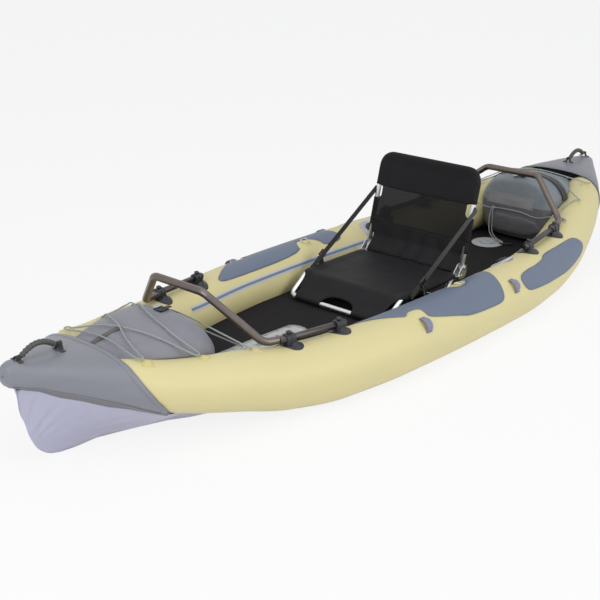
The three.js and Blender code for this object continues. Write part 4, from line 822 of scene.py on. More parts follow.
def skin_row(x):
    """Section of the hull skin from the starboard rim down to the keel and up to port."""
    share = abs(x) / half_length
    rim_half, rim_height = bottom_rim(x)
    keel = end_rise * smooth(keel_shares["at"], keel_shares["height"], max(keel_shares["at"][0], share))
    flat = max(keel_edge, tube_spacing * linear(flat_shares["at"], flat_shares["half"], share))
    fullness = clamped((share - 0.6) / 0.2)
    half_row = [(rim_half, rim_height + 0.002, 0.0)]
    half_row += [(rim_half + (flat - rim_half) * t, rim_height + (keel - rim_height) * t, t)
                 for t in even(0, 1, 22)]
    half_row += [(flat * (1 - n / 7), keel, 1.0) for n in range(1, 8)]
    row = []
    for way, stations in ((1, half_row), (-1, half_row[-2::-1])):
        for y, z, t in stations:
            reach = Vector((abs(x) - foot_share * half_length, z - foot_height))
            turn = atan2(reach.y, -reach.x + 0.03)
            fan = sin(turn * 27 + 3.5 * rough(turn * 4, way * 2, 1.0))
            fade = exp(-abs(reach.length - 0.24) / 0.22) * sin(pi * t) ** 0.7
            gather = rough(x * 34, way * 3.0, 0.4) * (1 - t) ** 3
            push = fullness * (0.0042 * fan * fade - 0.004 * sin(pi * t) + 0.0012 * gather)
            row.append(Vector((x, way * (y + push), z)))
    return row


lavender_cloth = coated_cloth("lavender_coated_cloth", tint(182, 181, 203), 0.955, 0.36, 0.18)
joint_half = skin_from_share * half_length
skins = [("hull_bottom_skin", even(-joint_half, joint_half, 60), "hull_bottom")]
for end_name, end in ends:
    shares = even(skin_from_share, stem_from_share, 72)[:-1] + even(stem_from_share, stem_to_share, 34)
    places = [end * share * half_length for share in shares]
    skins.append((end_name + "_skin", places, end_name + "_keel_skin"))
for skin_name, places, replaced in skins:
    skin = turned_outward(grid_object(skin_name, [skin_row(x) for x in places]), Vector((0, 0, -1)))
    dressed(thickened(skin, 0.0018), "hull", lavender_cloth, "keel_fabric", replaced)


# End covers. Grey coated cloth is drawn over the tube ends and welded down to the hull skin. The
# mouth has a sewn hem, and a darker chine band closes the lower edge.
cover_shares = {
    "at": [0.74, 0.772, 0.8125, 0.85, 0.8875, 0.925, 0.956, 0.981, 0.992, 1],
    "half": [0.744, 0.684, 0.574, 0.483, 0.368, 0.261, 0.175, 0.104, 0.075, 0.0366],
    "bow": [1.42, 1.5, 1.59, 1.62, 1.64, 1.654, 1.67, 1.73, 1.71, 1.55],
    "stern": [1.51, 1.59, 1.69, 1.735, 1.76, 1.77, 1.775, 1.76, 1.72, 1.58],
}
cover_waist_share, crown_power, crown_part = 0.92, 2 / 2.5, 0.58
cover_side_bulge, sleeve_lift = 0.45, 0.0028
nose_share, tip_share = 0.99, 0.9995
covered_from_share = 0.56
covered_stations = {}
for _, end in ends:
    places = even(end * covered_from_share * half_length, end * tube_reach, 80)
    covered_stations[end] = [(x, *tube_end_at(x)) for x in places]


def clear_of_tube(x, y, z, lift):
    """Point of a section moved out of the starboard tube, which may slant through the section."""
    for _ in range(5):
        gap, tube_y, tube_z = min((dist((x, y, z), (a, b, c)) - radius, b, c)
                                  for a, b, c, radius in covered_stations[-1 if x < 0 else 1])
        off = hypot(y - tube_y, z - tube_z)
        if gap >= lift or off < 0.004:
            break
        grow = 1 + (lift - gap) / off
        y, z = tube_y + (y - tube_y) * grow, tube_z + (z - tube_z) * grow
    return y, z


def cover_top(end, share):
    return end_rise * smooth(cover_shares["at"], cover_shares["bow" if end < 0 else "stern"], share)


def cover_point(end, share, t, lift=0.0):
    """Point of a cover: t is 0 on the crown, and 1 or -1 at the chine above the hull skin."""
    x = end * share * half_length
    waist = tube_at(end * min(share, cover_waist_share) * half_length)[1]
    half = tube_spacing * smooth(cover_shares["at"], cover_shares["half"], share) + lift
    rim_half, rim_height = bottom_rim(x)
    rim_half, rim_height = rim_half + lift, rim_height + sleeve_lift
    part = abs(t)
    if part <= crown_part:
        angle = pi / 2 * part / crown_part
        y = half * sin(angle) ** crown_power
        z = waist + (cover_top(end, share) + lift - waist) * max(0.0, cos(angle)) ** crown_power
    else:
        u = (part - crown_part) / (1 - crown_part)
        low = rim_height + cover_side_bulge * (waist - rim_height)
        y = half * (1 - u * u) + rim_half * u * u
        z = waist * (1 - u) ** 2 + low * 2 * u * (1 - u) + rim_height * u * u
    y, z = clear_of_tube(x, y, z, sleeve_lift + lift)
    return Vector((x, copysign(y, t), z))


def cover_mouth(end, t):
    share = 0.79
    for _ in range(14):
        height = cover_point(end, share, t).z / end_rise
        share = 0.5 * share + 0.5 * smooth(mouth_heights, mouth_places, height)
    return share


def creased(end, share, t):
    x = share * half_length
    crease = 0.0009 * rough(x * 11, t * 6, 5.0) + 0.0005 * rough(x * 31, t * 13, 2.0)
    return cover_point(end, share, t, crease)


grey_cover_cloth = coated_cloth("grey_cover_cloth", tint(134, 136, 145), 0.93, 0.42, 0.2)
chine_cloth = coated_cloth("chine_band_cloth", tint(120, 119, 124), 0.93, 0.55, 0.15)
for end_name, end in ends:
    mouth = [(t, cover_mouth(end, t)) for t in even(-1, 1, 84)]
    rows = []
    for k in range(61):
        part = (k / 60) ** 0.9
        rows.append([creased(end, start + (nose_share - start) * part, t) for t, start in mouth])
    last = rows[-1]
    middle = (last[0].z + last[42].z) / 2
    for angle in even(0, pi / 2, 6)[1:]:
        x = end * half_length * (nose_share + (tip_share - nose_share) * sin(angle))
        scale = max(0.02, cos(angle)) ** 0.7
        rows.append([Vector((x, p.y * scale, middle + (p.z - middle) * scale)) for p in last])
    tuck_rows = [[row[0].lerp(row[-1], n / 6) for n in range(7)] for row in rows[48:]]
    tuck = grid_object(end_name + "_nose_tuck", tuck_rows)
    dressed(turned_outward(tuck, Vector((0, 0, -1))), "hull", grey_cover_cloth, "cover_fabric")
    cover = turned_outward(grid_object(end_name + "_end_cover", rows), Vector((0, 0, 1)))
    dressed(thickened(cover, 0.002), "hull", grey_cover_cloth, "cover_fabric", end_name + "_cover")

    hem = turned_outward(grid_object(end_name + "_mouth_hem", [
        [cover_point(end, start + (k - 0.1) * 0.0035, t, lift) for t, start in mouth]
        for k, lift in enumerate((0.0002, 0.0016, 0.0016, 0.0016, 0.0002))]))
    dressed(hem, "hull", grey_cover_cloth, "cover_fabric")
    lines = [[cover_point(end, start + step, t, 0.0022) for t, start in mouth] for step in (0.0018, 0.0118)]
    stitches = repeated(end_name + "_hem_stitches", lines, stitch, 0.006, grey_thread)
    dressed(stitches, "hull", None, "cover_fabric")

    for side_name, side in sides:
        rows = []
        for share in even(cover_mouth(end, side), nose_share, 70):
            high = 0.86 + 0.07 * max(0.0, (0.86 - share) / 0.1)
            rows.append([cover_point(end, share, side * part, 0.0016 if n < 6 else 0.0004)
                         for n, part in enumerate(even(1.0, high, 6))])
        label = end_name + "_" + side_name
        band = turned_outward(grid_object(label + "_chine_band", rows), Vector((0, side, 0)))
        dressed(band, "hull", chine_cloth, "cover_fabric")
        seam_line = [row[5] + Vector((0, side * 0.0006, 0)) for row in rows]
        piping = swept(label + "_chine_piping", seam_line, 0.0011, 8)
        dressed(piping, "hull", grey_cover_cloth, "cover_fabric")


# Carrying handles. A webbing core runs through a ribbed, moulded grip that arches over each end.
# Each end of the core turns in a black webbing eye sewn down on the cover.
handle_share = 0.92375
handle_heights = {-1: 0.337, 1: 0.357}
grip_radius, grip_rise, grip_reach, core_reach, eye_reach = 0.009, 0.024, 0.058, 0.074, 0.07
eye_inner, eye_outer, eye_round, eye_part = 0.0105, 0.0125, 0.0068, 0.16
grip_rubber = moulded("olive_grip_rubber", tint(74, 77, 70), 0.55)
black_webbing = webbing("black_webbing", tint(30, 31, 35), 0.62)


def over_the_end(end, t):
    """Point on the line of a handle's grip, from -1 to 1 along the boat."""
    return Vector((end * handle_share * half_length + grip_reach * t, 0.0,
                   handle_heights[end] + grip_rise * (1 - t * t)))


for end_name, end in ends:
    height = handle_heights[end]
    arch = [over_the_end(end, t) for t in even(-1, 1, 40)]
    swell = [grip_radius * (0.72 + 0.13 * sin(pi * k / 40) ** 0.3) for k in range(41)]
    swell[0] = swell[-1] = grip_radius * 0.7
    grip = swept(end_name + "_grip", arch, swell, 24)
    rib = lathed("one_rib", [(grip_radius * out, along) for out, along in (
        (0.7, -0.0036), (0.97, -0.0024), (0.999, 0.0), (0.97, 0.0024), (0.7, 0.0036))], segments=20)
    rib_line = [over_the_end(end, t) for t in even(-0.88, 0.88, 40)]
    ribs = repeated(end_name + "_ribs", [rib_line], rib, 0.0115, grip_rubber)
    bpy.data.objects.remove(rib, do_unlink=True)
    dressed(ribs, end_name + "_handle", None, "handle_grip")
    dressed(grip, end_name + "_handle", grip_rubber, "handle_grip", end_name + "_handle_grip")
    handle_x = end * handle_share * half_length
    core_ends = [Vector((handle_x + way * core_reach, 0, height)) for way in (-1, 1)]
    core_line = [core_ends[0], *arch[::4], core_ends[1]]
    core = swept(end_name + "_core", core_line, 0.004, 14)
    dressed(core, end_name + "_handle", black_webbing, "handle_webbing", end_name + "_handle_core")
    for eye_name, way in (("_fore_eye", -1), ("_aft_eye", 1)):
        middle = handle_x + way * eye_reach
        on_cover = cover_top(end, abs(middle) / half_length) - height + 0.0022
        line = []
        for part in even(0, 1, 40):
            half_turn = radians(-40 + 260 * (part - eye_part) / (1 - 2 * eye_part))
            y, z = eye_round * cos(half_turn), eye_round * sin(half_turn)
            tail = max(eye_part - part, part - 1 + eye_part)
            if tail > 0:
                y, z = copysign(eye_inner + eye_outer * tail / eye_part, 0.5 - part), on_cover
            line.append(Vector((middle, y, height + z)))
        eye = swept(end_name + eye_name, line, 1.0, section=strap_section(0.016, 0.002))
        dressed(eye, "hull", black_webbing, "handle_webbing")


# Keel rods and floor mat. An aluminium rod stiffens each keel inside the skin, and an inflated mat
# fills the bottom. The boat's own solids are right, and take their finishes.
rod_metal = metal("keel_rod_metal", tint(190, 192, 196), 0.35)
floor_cloth = coated_cloth("black_floor_cloth", tint(23, 21, 24), 0.8, 0.85, 0.3, 0.0014, gloss=0.22)
for node_name, material in (("bow_keel_rod", rod_metal), ("stern_keel_rod", rod_metal),
                            ("air_floor", floor_cloth)):
    finishes = bpy.data.objects[node_name].data.materials
    finishes.clear()
    finishes.append(material)


# Floor cover. Black cloth is laid over the mat between the tubes. A pale measuring strip with plain
# numbers is glued on it ahead of the seat, and a drain valve is let in behind the seat.
mat_top, floor_face = 0.077, 0.0803
edge_at = {}
for corner in bpy.data.objects["floor_cover"].data.vertices:
    if corner.co.z > floor_face - 0.0005:
        place = round(corner.co.x, 3)
        edge_at[place] = max(edge_at.get(place, 0.0), corner.co.y)
edge_places = sorted(edge_at)
edge_halves = [edge_at[place] for place in edge_places]
rows = []
for x in even(edge_places[0], edge_places[-1], 140):
    half = linear(edge_places, edge_halves, x) - 0.0006
    row = []
    for y in even(-half, half, 48):
        ripple = rough(x * 5, y * 9, 1.0) + 0.5 * rough(x * 13, y * 17, 4.0)
        row.append(Vector((x, y, mat_top + 0.0021 + 0.0009 * max(-1.0, min(1.0, ripple)))))
    rows.append(row)
floor_sheet = turned_outward(grid_object("floor_cloth", rows), Vector((0, 0, 1)))
dressed(thickened(floor_sheet, 0.001), "hull", floor_cloth, "floor_fabric", "floor_cover")

strip_from, strip_to, strip_port, strip_starboard, strip_bevel = -0.928, -0.385, -0.052, 0.048, 0.026
strip_outline = rounded_outline([
    (strip_from, strip_port), (strip_to - strip_bevel, strip_port), (strip_to, strip_port + strip_bevel),
    (strip_to, strip_starboard - strip_bevel), (strip_to - strip_bevel, strip_starboard),
    (strip_from, strip_starboard)], 1)
ruler_film = moulded("pale_ruler_film", tint(188, 192, 190), 0.4, 400.0, 0.2)
ruler_ink = finish("ruler_ink", tint(66, 69, 74), 0.6)[0]
strip = cut_panel("measuring_strip_film", strip_outline, 0.02,
                  lambda x, y: Vector((x, y, floor_face + 0.001)), 0.0011)
dressed(turned_outward(strip, Vector((0, 0, 1))), "hull", ruler_film, "ruler_film", "measuring_strip")
tick_height = floor_face + 0.0017
ticks_from, ticks_to = strip_from + 0.02, strip_to - 0.036
for tick_name, length, tall, inset, spacing in (("small_tick", 0.010, 0.0011, 0.009, 0.01),
                                                ("large_tick", 0.020, 0.0017, 0.014, 0.05)):
    tick = rounded_block(tick_name, (length, 0.0002, tall), 0.00005, Matrix.Identity(4))
    lines = [[Vector((ticks_from, y, tick_height)), Vector((ticks_to, y, tick_height))]
             for y in (strip_port + inset, strip_starboard - inset)]
    dressed(repeated(tick_name + "s", lines, tick, spacing, ruler_ink), "hull", None, "ruler_film")
    bpy.data.objects.remove(tick, do_unlink=True)
numbers = []
for count in range(1, 10):
    words = bpy.data.curves.new("number", "FONT")
    words.body = str(count * 5)
    words.size = 0.026
    words.align_x, words.align_y = "CENTER", "CENTER"
    words.extrude = 0.0001
    words.resolution_u = 3
    flat = evaluated_mesh(new_object("number", words))
    place = Vector((ticks_from + 0.05 * count, (strip_port + strip_starboard) / 2, tick_height))
    flat.transform(Matrix.Translation(place) @ Matrix.Rotation(-pi / 2, 4, "Z"))
    numbers.append(new_object("number", flat))
dressed(joined("ruler_numbers", numbers), "hull", ruler_ink, "ruler_film")

drain_place = Matrix.Translation((0.86, 0.052, 0.0))
valve_film = moulded("pale_valve_film", tint(190, 193, 192), 0.42, 500.0)
drain = lathed("floor_valve_plate", [
    (axis, 0.0807), (0.067, 0.0807), (0.067, 0.0824), (0.0645, 0.0838), (0.052, 0.0841), (0.0505, 0.0834),
    (0.048, 0.0834), (0.0465, 0.0842), (0.0355, 0.0845), (0.034, 0.0837), (0.0312, 0.0835), (0.0308, 0.0827),
    (axis, 0.0827)], drain_place)
dressed(drain, "hull", valve_film, "valve_film", "floor_valve")
parts = [lathed("cap", [
    (axis, 0.083), (0.0292, 0.083), (0.03, 0.0838), (0.03, 0.0862), (0.0286, 0.0876), (0.0235, 0.0878),
    (0.0225, 0.0864), (axis, 0.0864)], drain_place)]
for turn in range(4):
    spoke = drain_place @ Matrix.Rotation(turn * pi / 4, 4, "Z") @ Matrix.Translation((0, 0, 0.086))
    parts.append(rounded_block("spoke", (0.043, 0.0032, 0.0018), 0.0006, spoke))
dressed(joined("floor_valve_lid", parts, 40), "floor_cap", valve_grey, "valve_plastic", "floor_valve_cap")


# Accessory frames. An anodised outer bar, 25.4 mm across, is bent up over the cockpit at each end, and
# an inner rail slides in each of its feet. The outer bar ends in a small round edge.
rail_radius, slide_radius, rail_lift = 0.0127, 0.011, 0.023
corner_bend, cross_bend = 0.052, 0.046
slide_from, slide_overlap, rail_overhang = 0.024, 0.06, 0.028
frame_shares = [
    {"name": "front", "end": -1, "cross": 0.595, "cross_half": 0.2872, "cross_height": 2.031, "bend": 0.53625,
     "bend_half": 0.7102, "near": 0.484375, "near_half": 0.7807, "far": 0.358125, "far_half": 0.8564},
    {"name": "rear", "end": 1, "cross": 0.5875, "cross_half": 0.3264, "cross_height": 2.0052, "bend": 0.53,
     "bend_half": 0.7572, "near": 0.474375, "near_half": 0.8277, "far": 0.328125, "far_half": 0.9034},
]


def bent_route(points, radius, steps=10):
    """Straight runs joined by round bends."""
    corners = [Vector(p) for p in points]
    stops = [corners[0]]
    for back, here, ahead in zip(corners, corners[1:], corners[2:]):
        before, after = (here - back).normalized(), (ahead - here).normalized()
        cut = radius * tan(before.angle(after) / 2)
        stops += bend(here - before * cut, here, here + after * cut, steps)
    return stops + [corners[-1]]


def bar_with_edges(name, stops, radius, edge=0.0012):
    """Bar whose two ends have a small rounded edge."""
    first = (stops[1] - stops[0]).normalized()
    last = (stops[-2] - stops[-1]).normalized()
    route = [stops[0], stops[0] + first * edge] + stops[1:-1] + [stops[-1] + last * edge, stops[-1]]
    radii = [radius - edge] + [radius] * (len(route) - 2) + [radius - edge]
    piece = swept(name, route, radii, 32)
    piece.data.set_sharp_from_angle(angle=radians(50))
    return piece


def frame_stops(shares, side):
    """Clip places of one foot, the way that it runs, its lower corner and the cross bar's corner."""
    spots = []
    for place_name in ("near", "far"):
        x = shares["end"] * shares[place_name] * half_length
        half = shares[place_name + "_half"] * tube_spacing
        y, z, radius = tube_at(x)
        spots.append(Vector((x, side * half, z + radius * cos(asin((half - y) / radius)) + rail_lift)))
    near, far = spots
    run = (far - near).normalized()
    low_corner = near + run * ((shares["near"] - shares["bend"]) * half_length / abs(run.x))
    low_corner.y = side * shares["bend_half"] * tube_spacing
    cross = Vector((shares["end"] * shares["cross"] * half_length,
                    side * shares["cross_half"] * tube_spacing, shares["cross_height"] * end_rise))
    return near, far, run, low_corner, cross


frame_metal = metal("anodised_frame_metal", tint(112, 103, 100), 0.3, 0.1)
slide_metal = metal("anodised_slide_metal", tint(84, 79, 80), 0.34, 0.1)
clip_plastic = moulded("black_clip_plastic", tint(27, 29, 38), 0.5)
for shares in frame_shares:
    feet = {side: frame_stops(shares, side) for _, side in sides}
    route = []
    for side, (near, _, run, low_corner, cross) in feet.items():
        half_route = bent_route([near + run * slide_from, low_corner, cross], corner_bend)[:-1]
        half_route += bent_route([half_route[-1], cross, (cross + feet[-side][4]) / 2], cross_bend)[1:]
        route += half_route if side < 0 else half_route[-2::-1]
    bent_bar = bar_with_edges(shares["name"] + "_bent_bar", route, rail_radius)
    dressed(bent_bar, "hull", frame_metal, "frame_tube", shares["name"] + "_frame_bar")
    for side_name, side in sides:
        near, far, run = feet[side][:3]
        label = side_name + "_" + shares["name"]
        rail_ends = [near + run * (slide_from - slide_overlap), far + run * rail_overhang]
        rail = bar_with_edges(label + "_rail", rail_ends, slide_radius)
        dressed(rail, "hull", slide_metal, "frame_tube", label + "_slide")


# Frame clips. Each bar is held by two moulded clips: an oval pad glued to the tube, a necked foot and
# a collar closed round the bar by a ribbed knob on top.
pad_length, pad_width, collar_length, collar_wall, knob_radius = 0.034, 0.043, 0.034, 0.005, 0.008
around = [(cos(2 * pi * n / 48), sin(2 * pi * n / 48)) for n in range(48)]


def frame_clip(name, side, spot, run, bar_radius):
    y, z, radius = tube_at(spot.x)
    on_skin = stood(*on_tube(side, spot.x, asin((abs(spot.y) - y) / radius) / radians(1)))
    rows = []
    for reach, rise in ((1.0, -0.0015), (1.0, 0.0012), (0.97, 0.0026), (0.9, 0.0034), (0.8, 0.004),
                        (0.68, 0.0052), (0.56, 0.0078), (0.47, 0.0115), (0.42, 0.016), (0.0005, 0.017)):
        row = []
        for c, s in around:
            aside = pad_width * reach * s
            drop = (sqrt(max(radius * radius - aside * aside, 0.0)) - radius) * min(1.0, reach + 0.2)
            row.append(on_skin @ Vector((pad_length * reach * c, aside, drop + rise)))
        rows.append(row)
    pad = closed("pad", rows)
    upright = stood(spot, Vector((0, 0, 1)), run)
    top = bar_radius + collar_wall
    outline = [(-1.0, -0.021), (-1.35, -0.0245), (1.35, -0.0245), (1.0, -0.021), (1.04, -0.35 * top),
               (1.04, 0.35 * top), (0.62, 0.95 * top), (-0.62, 0.95 * top), (-1.04, 0.35 * top),
               (-1.04, -0.35 * top)]
    section = rounded_path([(0.0, wide * top, high) for wide, high in outline], 2, endless=True)
    collar = closed("collar", [
        [upright @ Vector((along * collar_length, p.y * scale, p.z * scale)) for p in section]
        for along, scale in ((-0.5, 0.9), (-0.47, 0.97), (-0.42, 1.0), (-0.12, 1.0), (-0.1, 0.965),
                             (0.1, 0.965), (0.12, 1.0), (0.42, 1.0), (0.47, 0.97), (0.5, 0.9))])
    rows = []
    for out, rise in ((0.6, -0.002), (0.6, 0.001), (1.0, 0.0015), (1.0, 0.0065), (0.85, 0.0078),
                      (0.4, 0.0078), (0.35, 0.007), (0.001, 0.007)):
        rib_depth = 0.06 if out > 0.8 else 0.0
        reaches = [knob_radius * out * (1 + rib_depth * cos(pi * n / 3)) for n in range(48)]
        rows.append([upright @ Vector((reach * c, reach * s, 0.93 * top + rise))
                     for reach, (c, s) in zip(reaches, around)])
    return joined(name, [pad, collar, closed("knob", rows)], 45)


for shares in frame_shares:
    for side_name, side in sides:
        near, far, run = frame_stops(shares, side)[:3]
        for place_name, spot, bar_radius in (("near", near, rail_radius), ("far", far, slide_radius)):
            label = side_name + "_" + shares["name"] + "_" + place_name
            clip = frame_clip(label + "_clip", side, spot, run, bar_radius)
            dressed(clip, "hull", clip_plastic, "clamp_plastic", label + "_clamp")


# Seat frame. Silver 19 mm tube: side rails run down to a front bar on the floor, a cross leg stands
# under the pan, and the back frame folds on bolts between pairs of plates.
seat_tube, seat_half = 0.0095, 0.2225
seat_front, seat_knee, seat_rear = -0.197, -0.105, 0.262
rail_height, hinge_height, seat_low = 0.160, 0.186, 0.0928
leg_top, leg_foot, leg_low, pan_bend, back_bend = 0.2, 0.15, 0.0901, 0.03, 0.055
back_top_x, back_top_z, back_tail = 0.353, 0.535, 0.012
hinge = Vector((seat_rear, 0.0, hinge_height))
back_run = (Vector((back_top_x, 0.0, back_top_z)) - hinge).normalized()
back_normal = Vector((-back_run.z, 0.0, back_run.x))
plate_half, plate_skin, plate_gap, plate_rise = 0.017, 0.003, 0.0005, 0.012
strap_top = hinge + back_run * 0.2165
strap_foot = Vector((-0.06, 0.0, 0.163))


def upright_plate(outline, low_y, high_y):
    """Plate cut to an outline in X and Z, with its corners rounded."""
    shape = bmesh.new()
    face = shape.faces.new([shape.verts.new((x, low_y, z)) for x, z in rounded_outline(outline, 2)])
    grown = bmesh.ops.extrude_face_region(shape, geom=[face])
    moved = [item for item in grown["geom"] if isinstance(item, bmesh.types.BMVert)]
    bmesh.ops.translate(shape, vec=Vector((0.0, high_y - low_y, 0.0)), verts=moved)
    bmesh.ops.recalc_face_normals(shape, faces=shape.faces)
    return shape_object("plate", shape, 40)


def pin(name, half_profile, x, side, z, segments):
    """Rivet or bolt across a seat tube, from its outer half: its two ends are alike."""
    place = Matrix.Translation((x, side * seat_half, z)) @ Matrix.Rotation(pi / 2, 4, "X")
    profile = [(radius, -out) for radius, out in half_profile[::-1]] + half_profile
    return lathed(name, profile, place, segments)


def stud(side, spot):
    """Short pin on the outside of a seat tube, with a rounded head, that a strap end is held on."""
    place = Matrix.Translation((spot.x, 0.0, spot.z)) @ Matrix.Rotation(-side * pi / 2, 4, "X")
    return lathed("stud", [(axis, seat_half), (0.004, seat_half), (0.004, 0.2337), (0.0034, 0.2343),
                           (axis, 0.2344)], place, 20)


def across_the_seat(*points):
    """Route from port points (x, z), over to the same points in reverse on the starboard side."""
    port = [(x, -seat_half, z) for x, z in points]
    return port + [(x, -y, z) for x, y, z in port[::-1]]


seat_metal = metal("silver_seat_tube", tint(214, 216, 220), 0.32)
bolt_metal = metal("steel_bolt", tint(176, 178, 184), 0.3)
rail_route = bent_route(across_the_seat((seat_rear - plate_half / 2, rail_height), (seat_knee, rail_height),
                                        (seat_front, seat_low)), pan_bend)
leg_route = bent_route(across_the_seat((leg_top, rail_height), (leg_foot, leg_low)), pan_bend)
pan_parts = [bar_with_edges("rail", rail_route, seat_tube), swept("leg", leg_route, seat_tube, 32)]
plate_low = rail_height - seat_tube - plate_skin
plate_outline = [
    (seat_rear - 2 * plate_half, plate_low), (seat_rear + plate_half / 2, plate_low),
    (seat_rear + plate_half, hinge_height), (seat_rear + plate_half / 2, hinge_height + plate_rise),
    (seat_rear - plate_half / 2, hinge_height + plate_rise), (seat_rear - plate_half, hinge_height),
    (seat_rear - 2 * plate_half, rail_height + seat_tube)]
plate_inner = seat_tube + plate_gap
plate_outer = plate_inner + plate_skin
for _, side in sides:
    for low, high in ((plate_inner, plate_outer), (-plate_outer, -plate_inner)):
        pan_parts.append(upright_plate(plate_outline, side * seat_half + low, side * seat_half + high))
    for back in (1.7, 0.9):
        pan_parts.append(pin("rivet", [(0.0045, 0.0135), (0.003, 0.0148), (axis, 0.0148)],
                             seat_rear - back * plate_half, side, rail_height, 20))
    pan_parts.append(stud(side, strap_foot))
dressed(joined("seat_pan_tubes", pan_parts), "hull", seat_metal, "seat_tube", "seat_pan_frame")

back_foot = hinge - back_run * back_tail
back_route = bent_route(across_the_seat((back_foot.x, back_foot.z), (back_top_x, back_top_z)), back_bend)
back_parts = [bar_with_edges("back", back_route, seat_tube), stud(-1, strap_top), stud(1, strap_top)]
dressed(joined("seat_back_tubes", back_parts), "seat_back", seat_metal, "seat_tube", "seat_back_frame")
reach, head = plate_outer + 0.0003, 0.004
for side_name, side in sides:
    bolt = pin(side_name + "_bolt", [(0.004, reach), (0.008, reach), (0.008, reach + 0.6 * head),
                                     (0.006, reach + head), (axis, reach + head)],
               seat_rear, side, hinge_height, 36)
    dressed(bolt, "hull", bolt_metal, "hinge_steel", side_name + "_hinge_bolt")


# Seat slings. Black pack cloth is sewn in sleeves round the tubes and stretched between them. The
# pan's front corners are cut away and its front edge is arched, so that the tube shows there.
def toward(flat_point, route):
    """Nearest point of a flat route, the way out from it, and the signed distance outside it."""
    near, out, gap = None, None, 1.0
    for a, b in zip(route, route[1:]):
        edge = b - a
        here = a + edge * clamped((flat_point - a).dot(edge) / edge.length_squared)
        if (flat_point - here).length < gap:
            near, out, gap = here, Vector((-edge.y, edge.x)).normalized(), (flat_point - here).length
    if gap > 1e-6:
        way = (flat_point - near) / gap
        if way.dot(out) > 0:
            return near, way, gap
    return near, out, -gap


def pack_cloth(name, colour, roughness, wrinkle=0.4, alpha=1.0, weave=0.0012):
    """Close-woven pack cloth with soft wrinkles; a mesh panel lets a little light through."""
    material, tree, shader = finish(name, colour, roughness, sheen=0.02, gloss=0.22)
    place = object_place(tree)
    cloud = node(tree, "TexNoise", {"Vector": place, "Scale": 4.0, "Detail": 5.0})
    two_tone(tree, shader, cloud, shaded(colour, 0.75), shaded(colour, 1.3))
    lay = node(tree, "UVMap", uv_map="lay")
    warp, weft = (waves(tree, lay, 0.5 / weave, direction) for direction in "XY")
    folds = node(tree, "TexNoise", {"Vector": place, "Scale": 7.0, "Detail": 3.0, "Distortion": 0.6})
    woven_relief(tree, shader, folds, maths(tree, "MULTIPLY", warp, weft), 0.03, wrinkle)
    shader.inputs["Alpha"].default_value = alpha
    return material


def mirrored(half_outline):
    return half_outline + [(-a, b) for a, b in reversed(half_outline)]


sleeve_radius, seat_spacing, sling_skin = 0.0112, 0.0085, 0.0014
sling_cloth = pack_cloth("black_pack_cloth", tint(14, 14, 18), 0.6)
mesh_cloth = pack_cloth("black_mesh_cloth", tint(26, 26, 27), 0.75, 0.25, 0.86, 0.0024)
pan_line = bent_route([(seat_rear - 2.05 * plate_half, 0, rail_height), (seat_knee, 0, rail_height),
                       (seat_front, 0, seat_low)], pan_bend, 8)
pan_marks = [route_length(pan_line[:k + 1]) for k in range(len(pan_line))]
pan_length = pan_marks[-1]


def on_pan(w, s):
    """Point of the pan cloth: w across it and s forward from its rear edge, both along the cloth."""
    k = 0
    while k < len(pan_marks) - 2 and s > pan_marks[k + 1]:
        k += 1
    a, b = pan_line[k], pan_line[k + 1]
    ahead = (b - a).normalized()
    up = Vector((ahead.z, 0.0, -ahead.x))
    if s > pan_length:
        turn = (s - pan_length) / sleeve_radius
        return b + (up * cos(turn) + ahead * sin(turn)) * sleeve_radius + Vector((0.0, w, 0.0))
    base = a + ahead * (s - pan_marks[k])
    beyond = abs(w) - seat_half
    if beyond > 0:
        turn = beyond / sleeve_radius
        aside = Vector((0.0, copysign(seat_half + sleeve_radius * sin(turn), w), 0.0))
        return base + aside + up * sleeve_radius * cos(turn)
    inboard = clamped(-beyond / 0.03)
    slack = clamped((pan_length - s) / 0.04)
    hollow = (1 - (w / seat_half) ** 2) * sin(pi * clamped(s / 0.33))
    crumple = 0.0013 * rough(w * 16, s * 16, 2.0)
    lift = sleeve_radius - (0.0052 * inboard * min(1.0, s / 0.05) + 0.006 * hollow - crumple) * slack
    return base + up * lift + Vector((0.0, w, 0.0))


front_wrap, side_wrap, arch_half = 0.036, 0.04, 0.074
pan_outline = mirrored([
    (0.02, pan_length - 0.041), (0.052, pan_length - 0.034), (arch_half, pan_length - 0.014),
    (arch_half, pan_length + front_wrap), (0.1925, pan_length + front_wrap), (0.1925, pan_length - 0.02),
    (0.205, 0.352), (seat_half + side_wrap, 0.318), (seat_half + side_wrap, 0.075), (seat_half + 0.018, 0.066),
    (seat_half + 0.018, 0.0)])
pan_flat = rounded_outline(pan_outline, 1)
pan_sheet = cut_panel("seat_pan_cloth", pan_flat, seat_spacing, on_pan, sling_skin)
turned_outward(pan_sheet, Vector((0, 0, 1)))
dressed(pan_sheet, "hull", sling_cloth, "seat_fabric", "seat_pan_sling")

back_height = (Vector((back_top_x, 0, back_top_z)) - hinge).length
back_plane = [Vector((p.y, (p - hinge).dot(back_run))) for p in back_route]
band_from, mesh_from, notch_from, notch_to, sling_from = 0.231, 0.095, 0.186, 0.24, 0.056


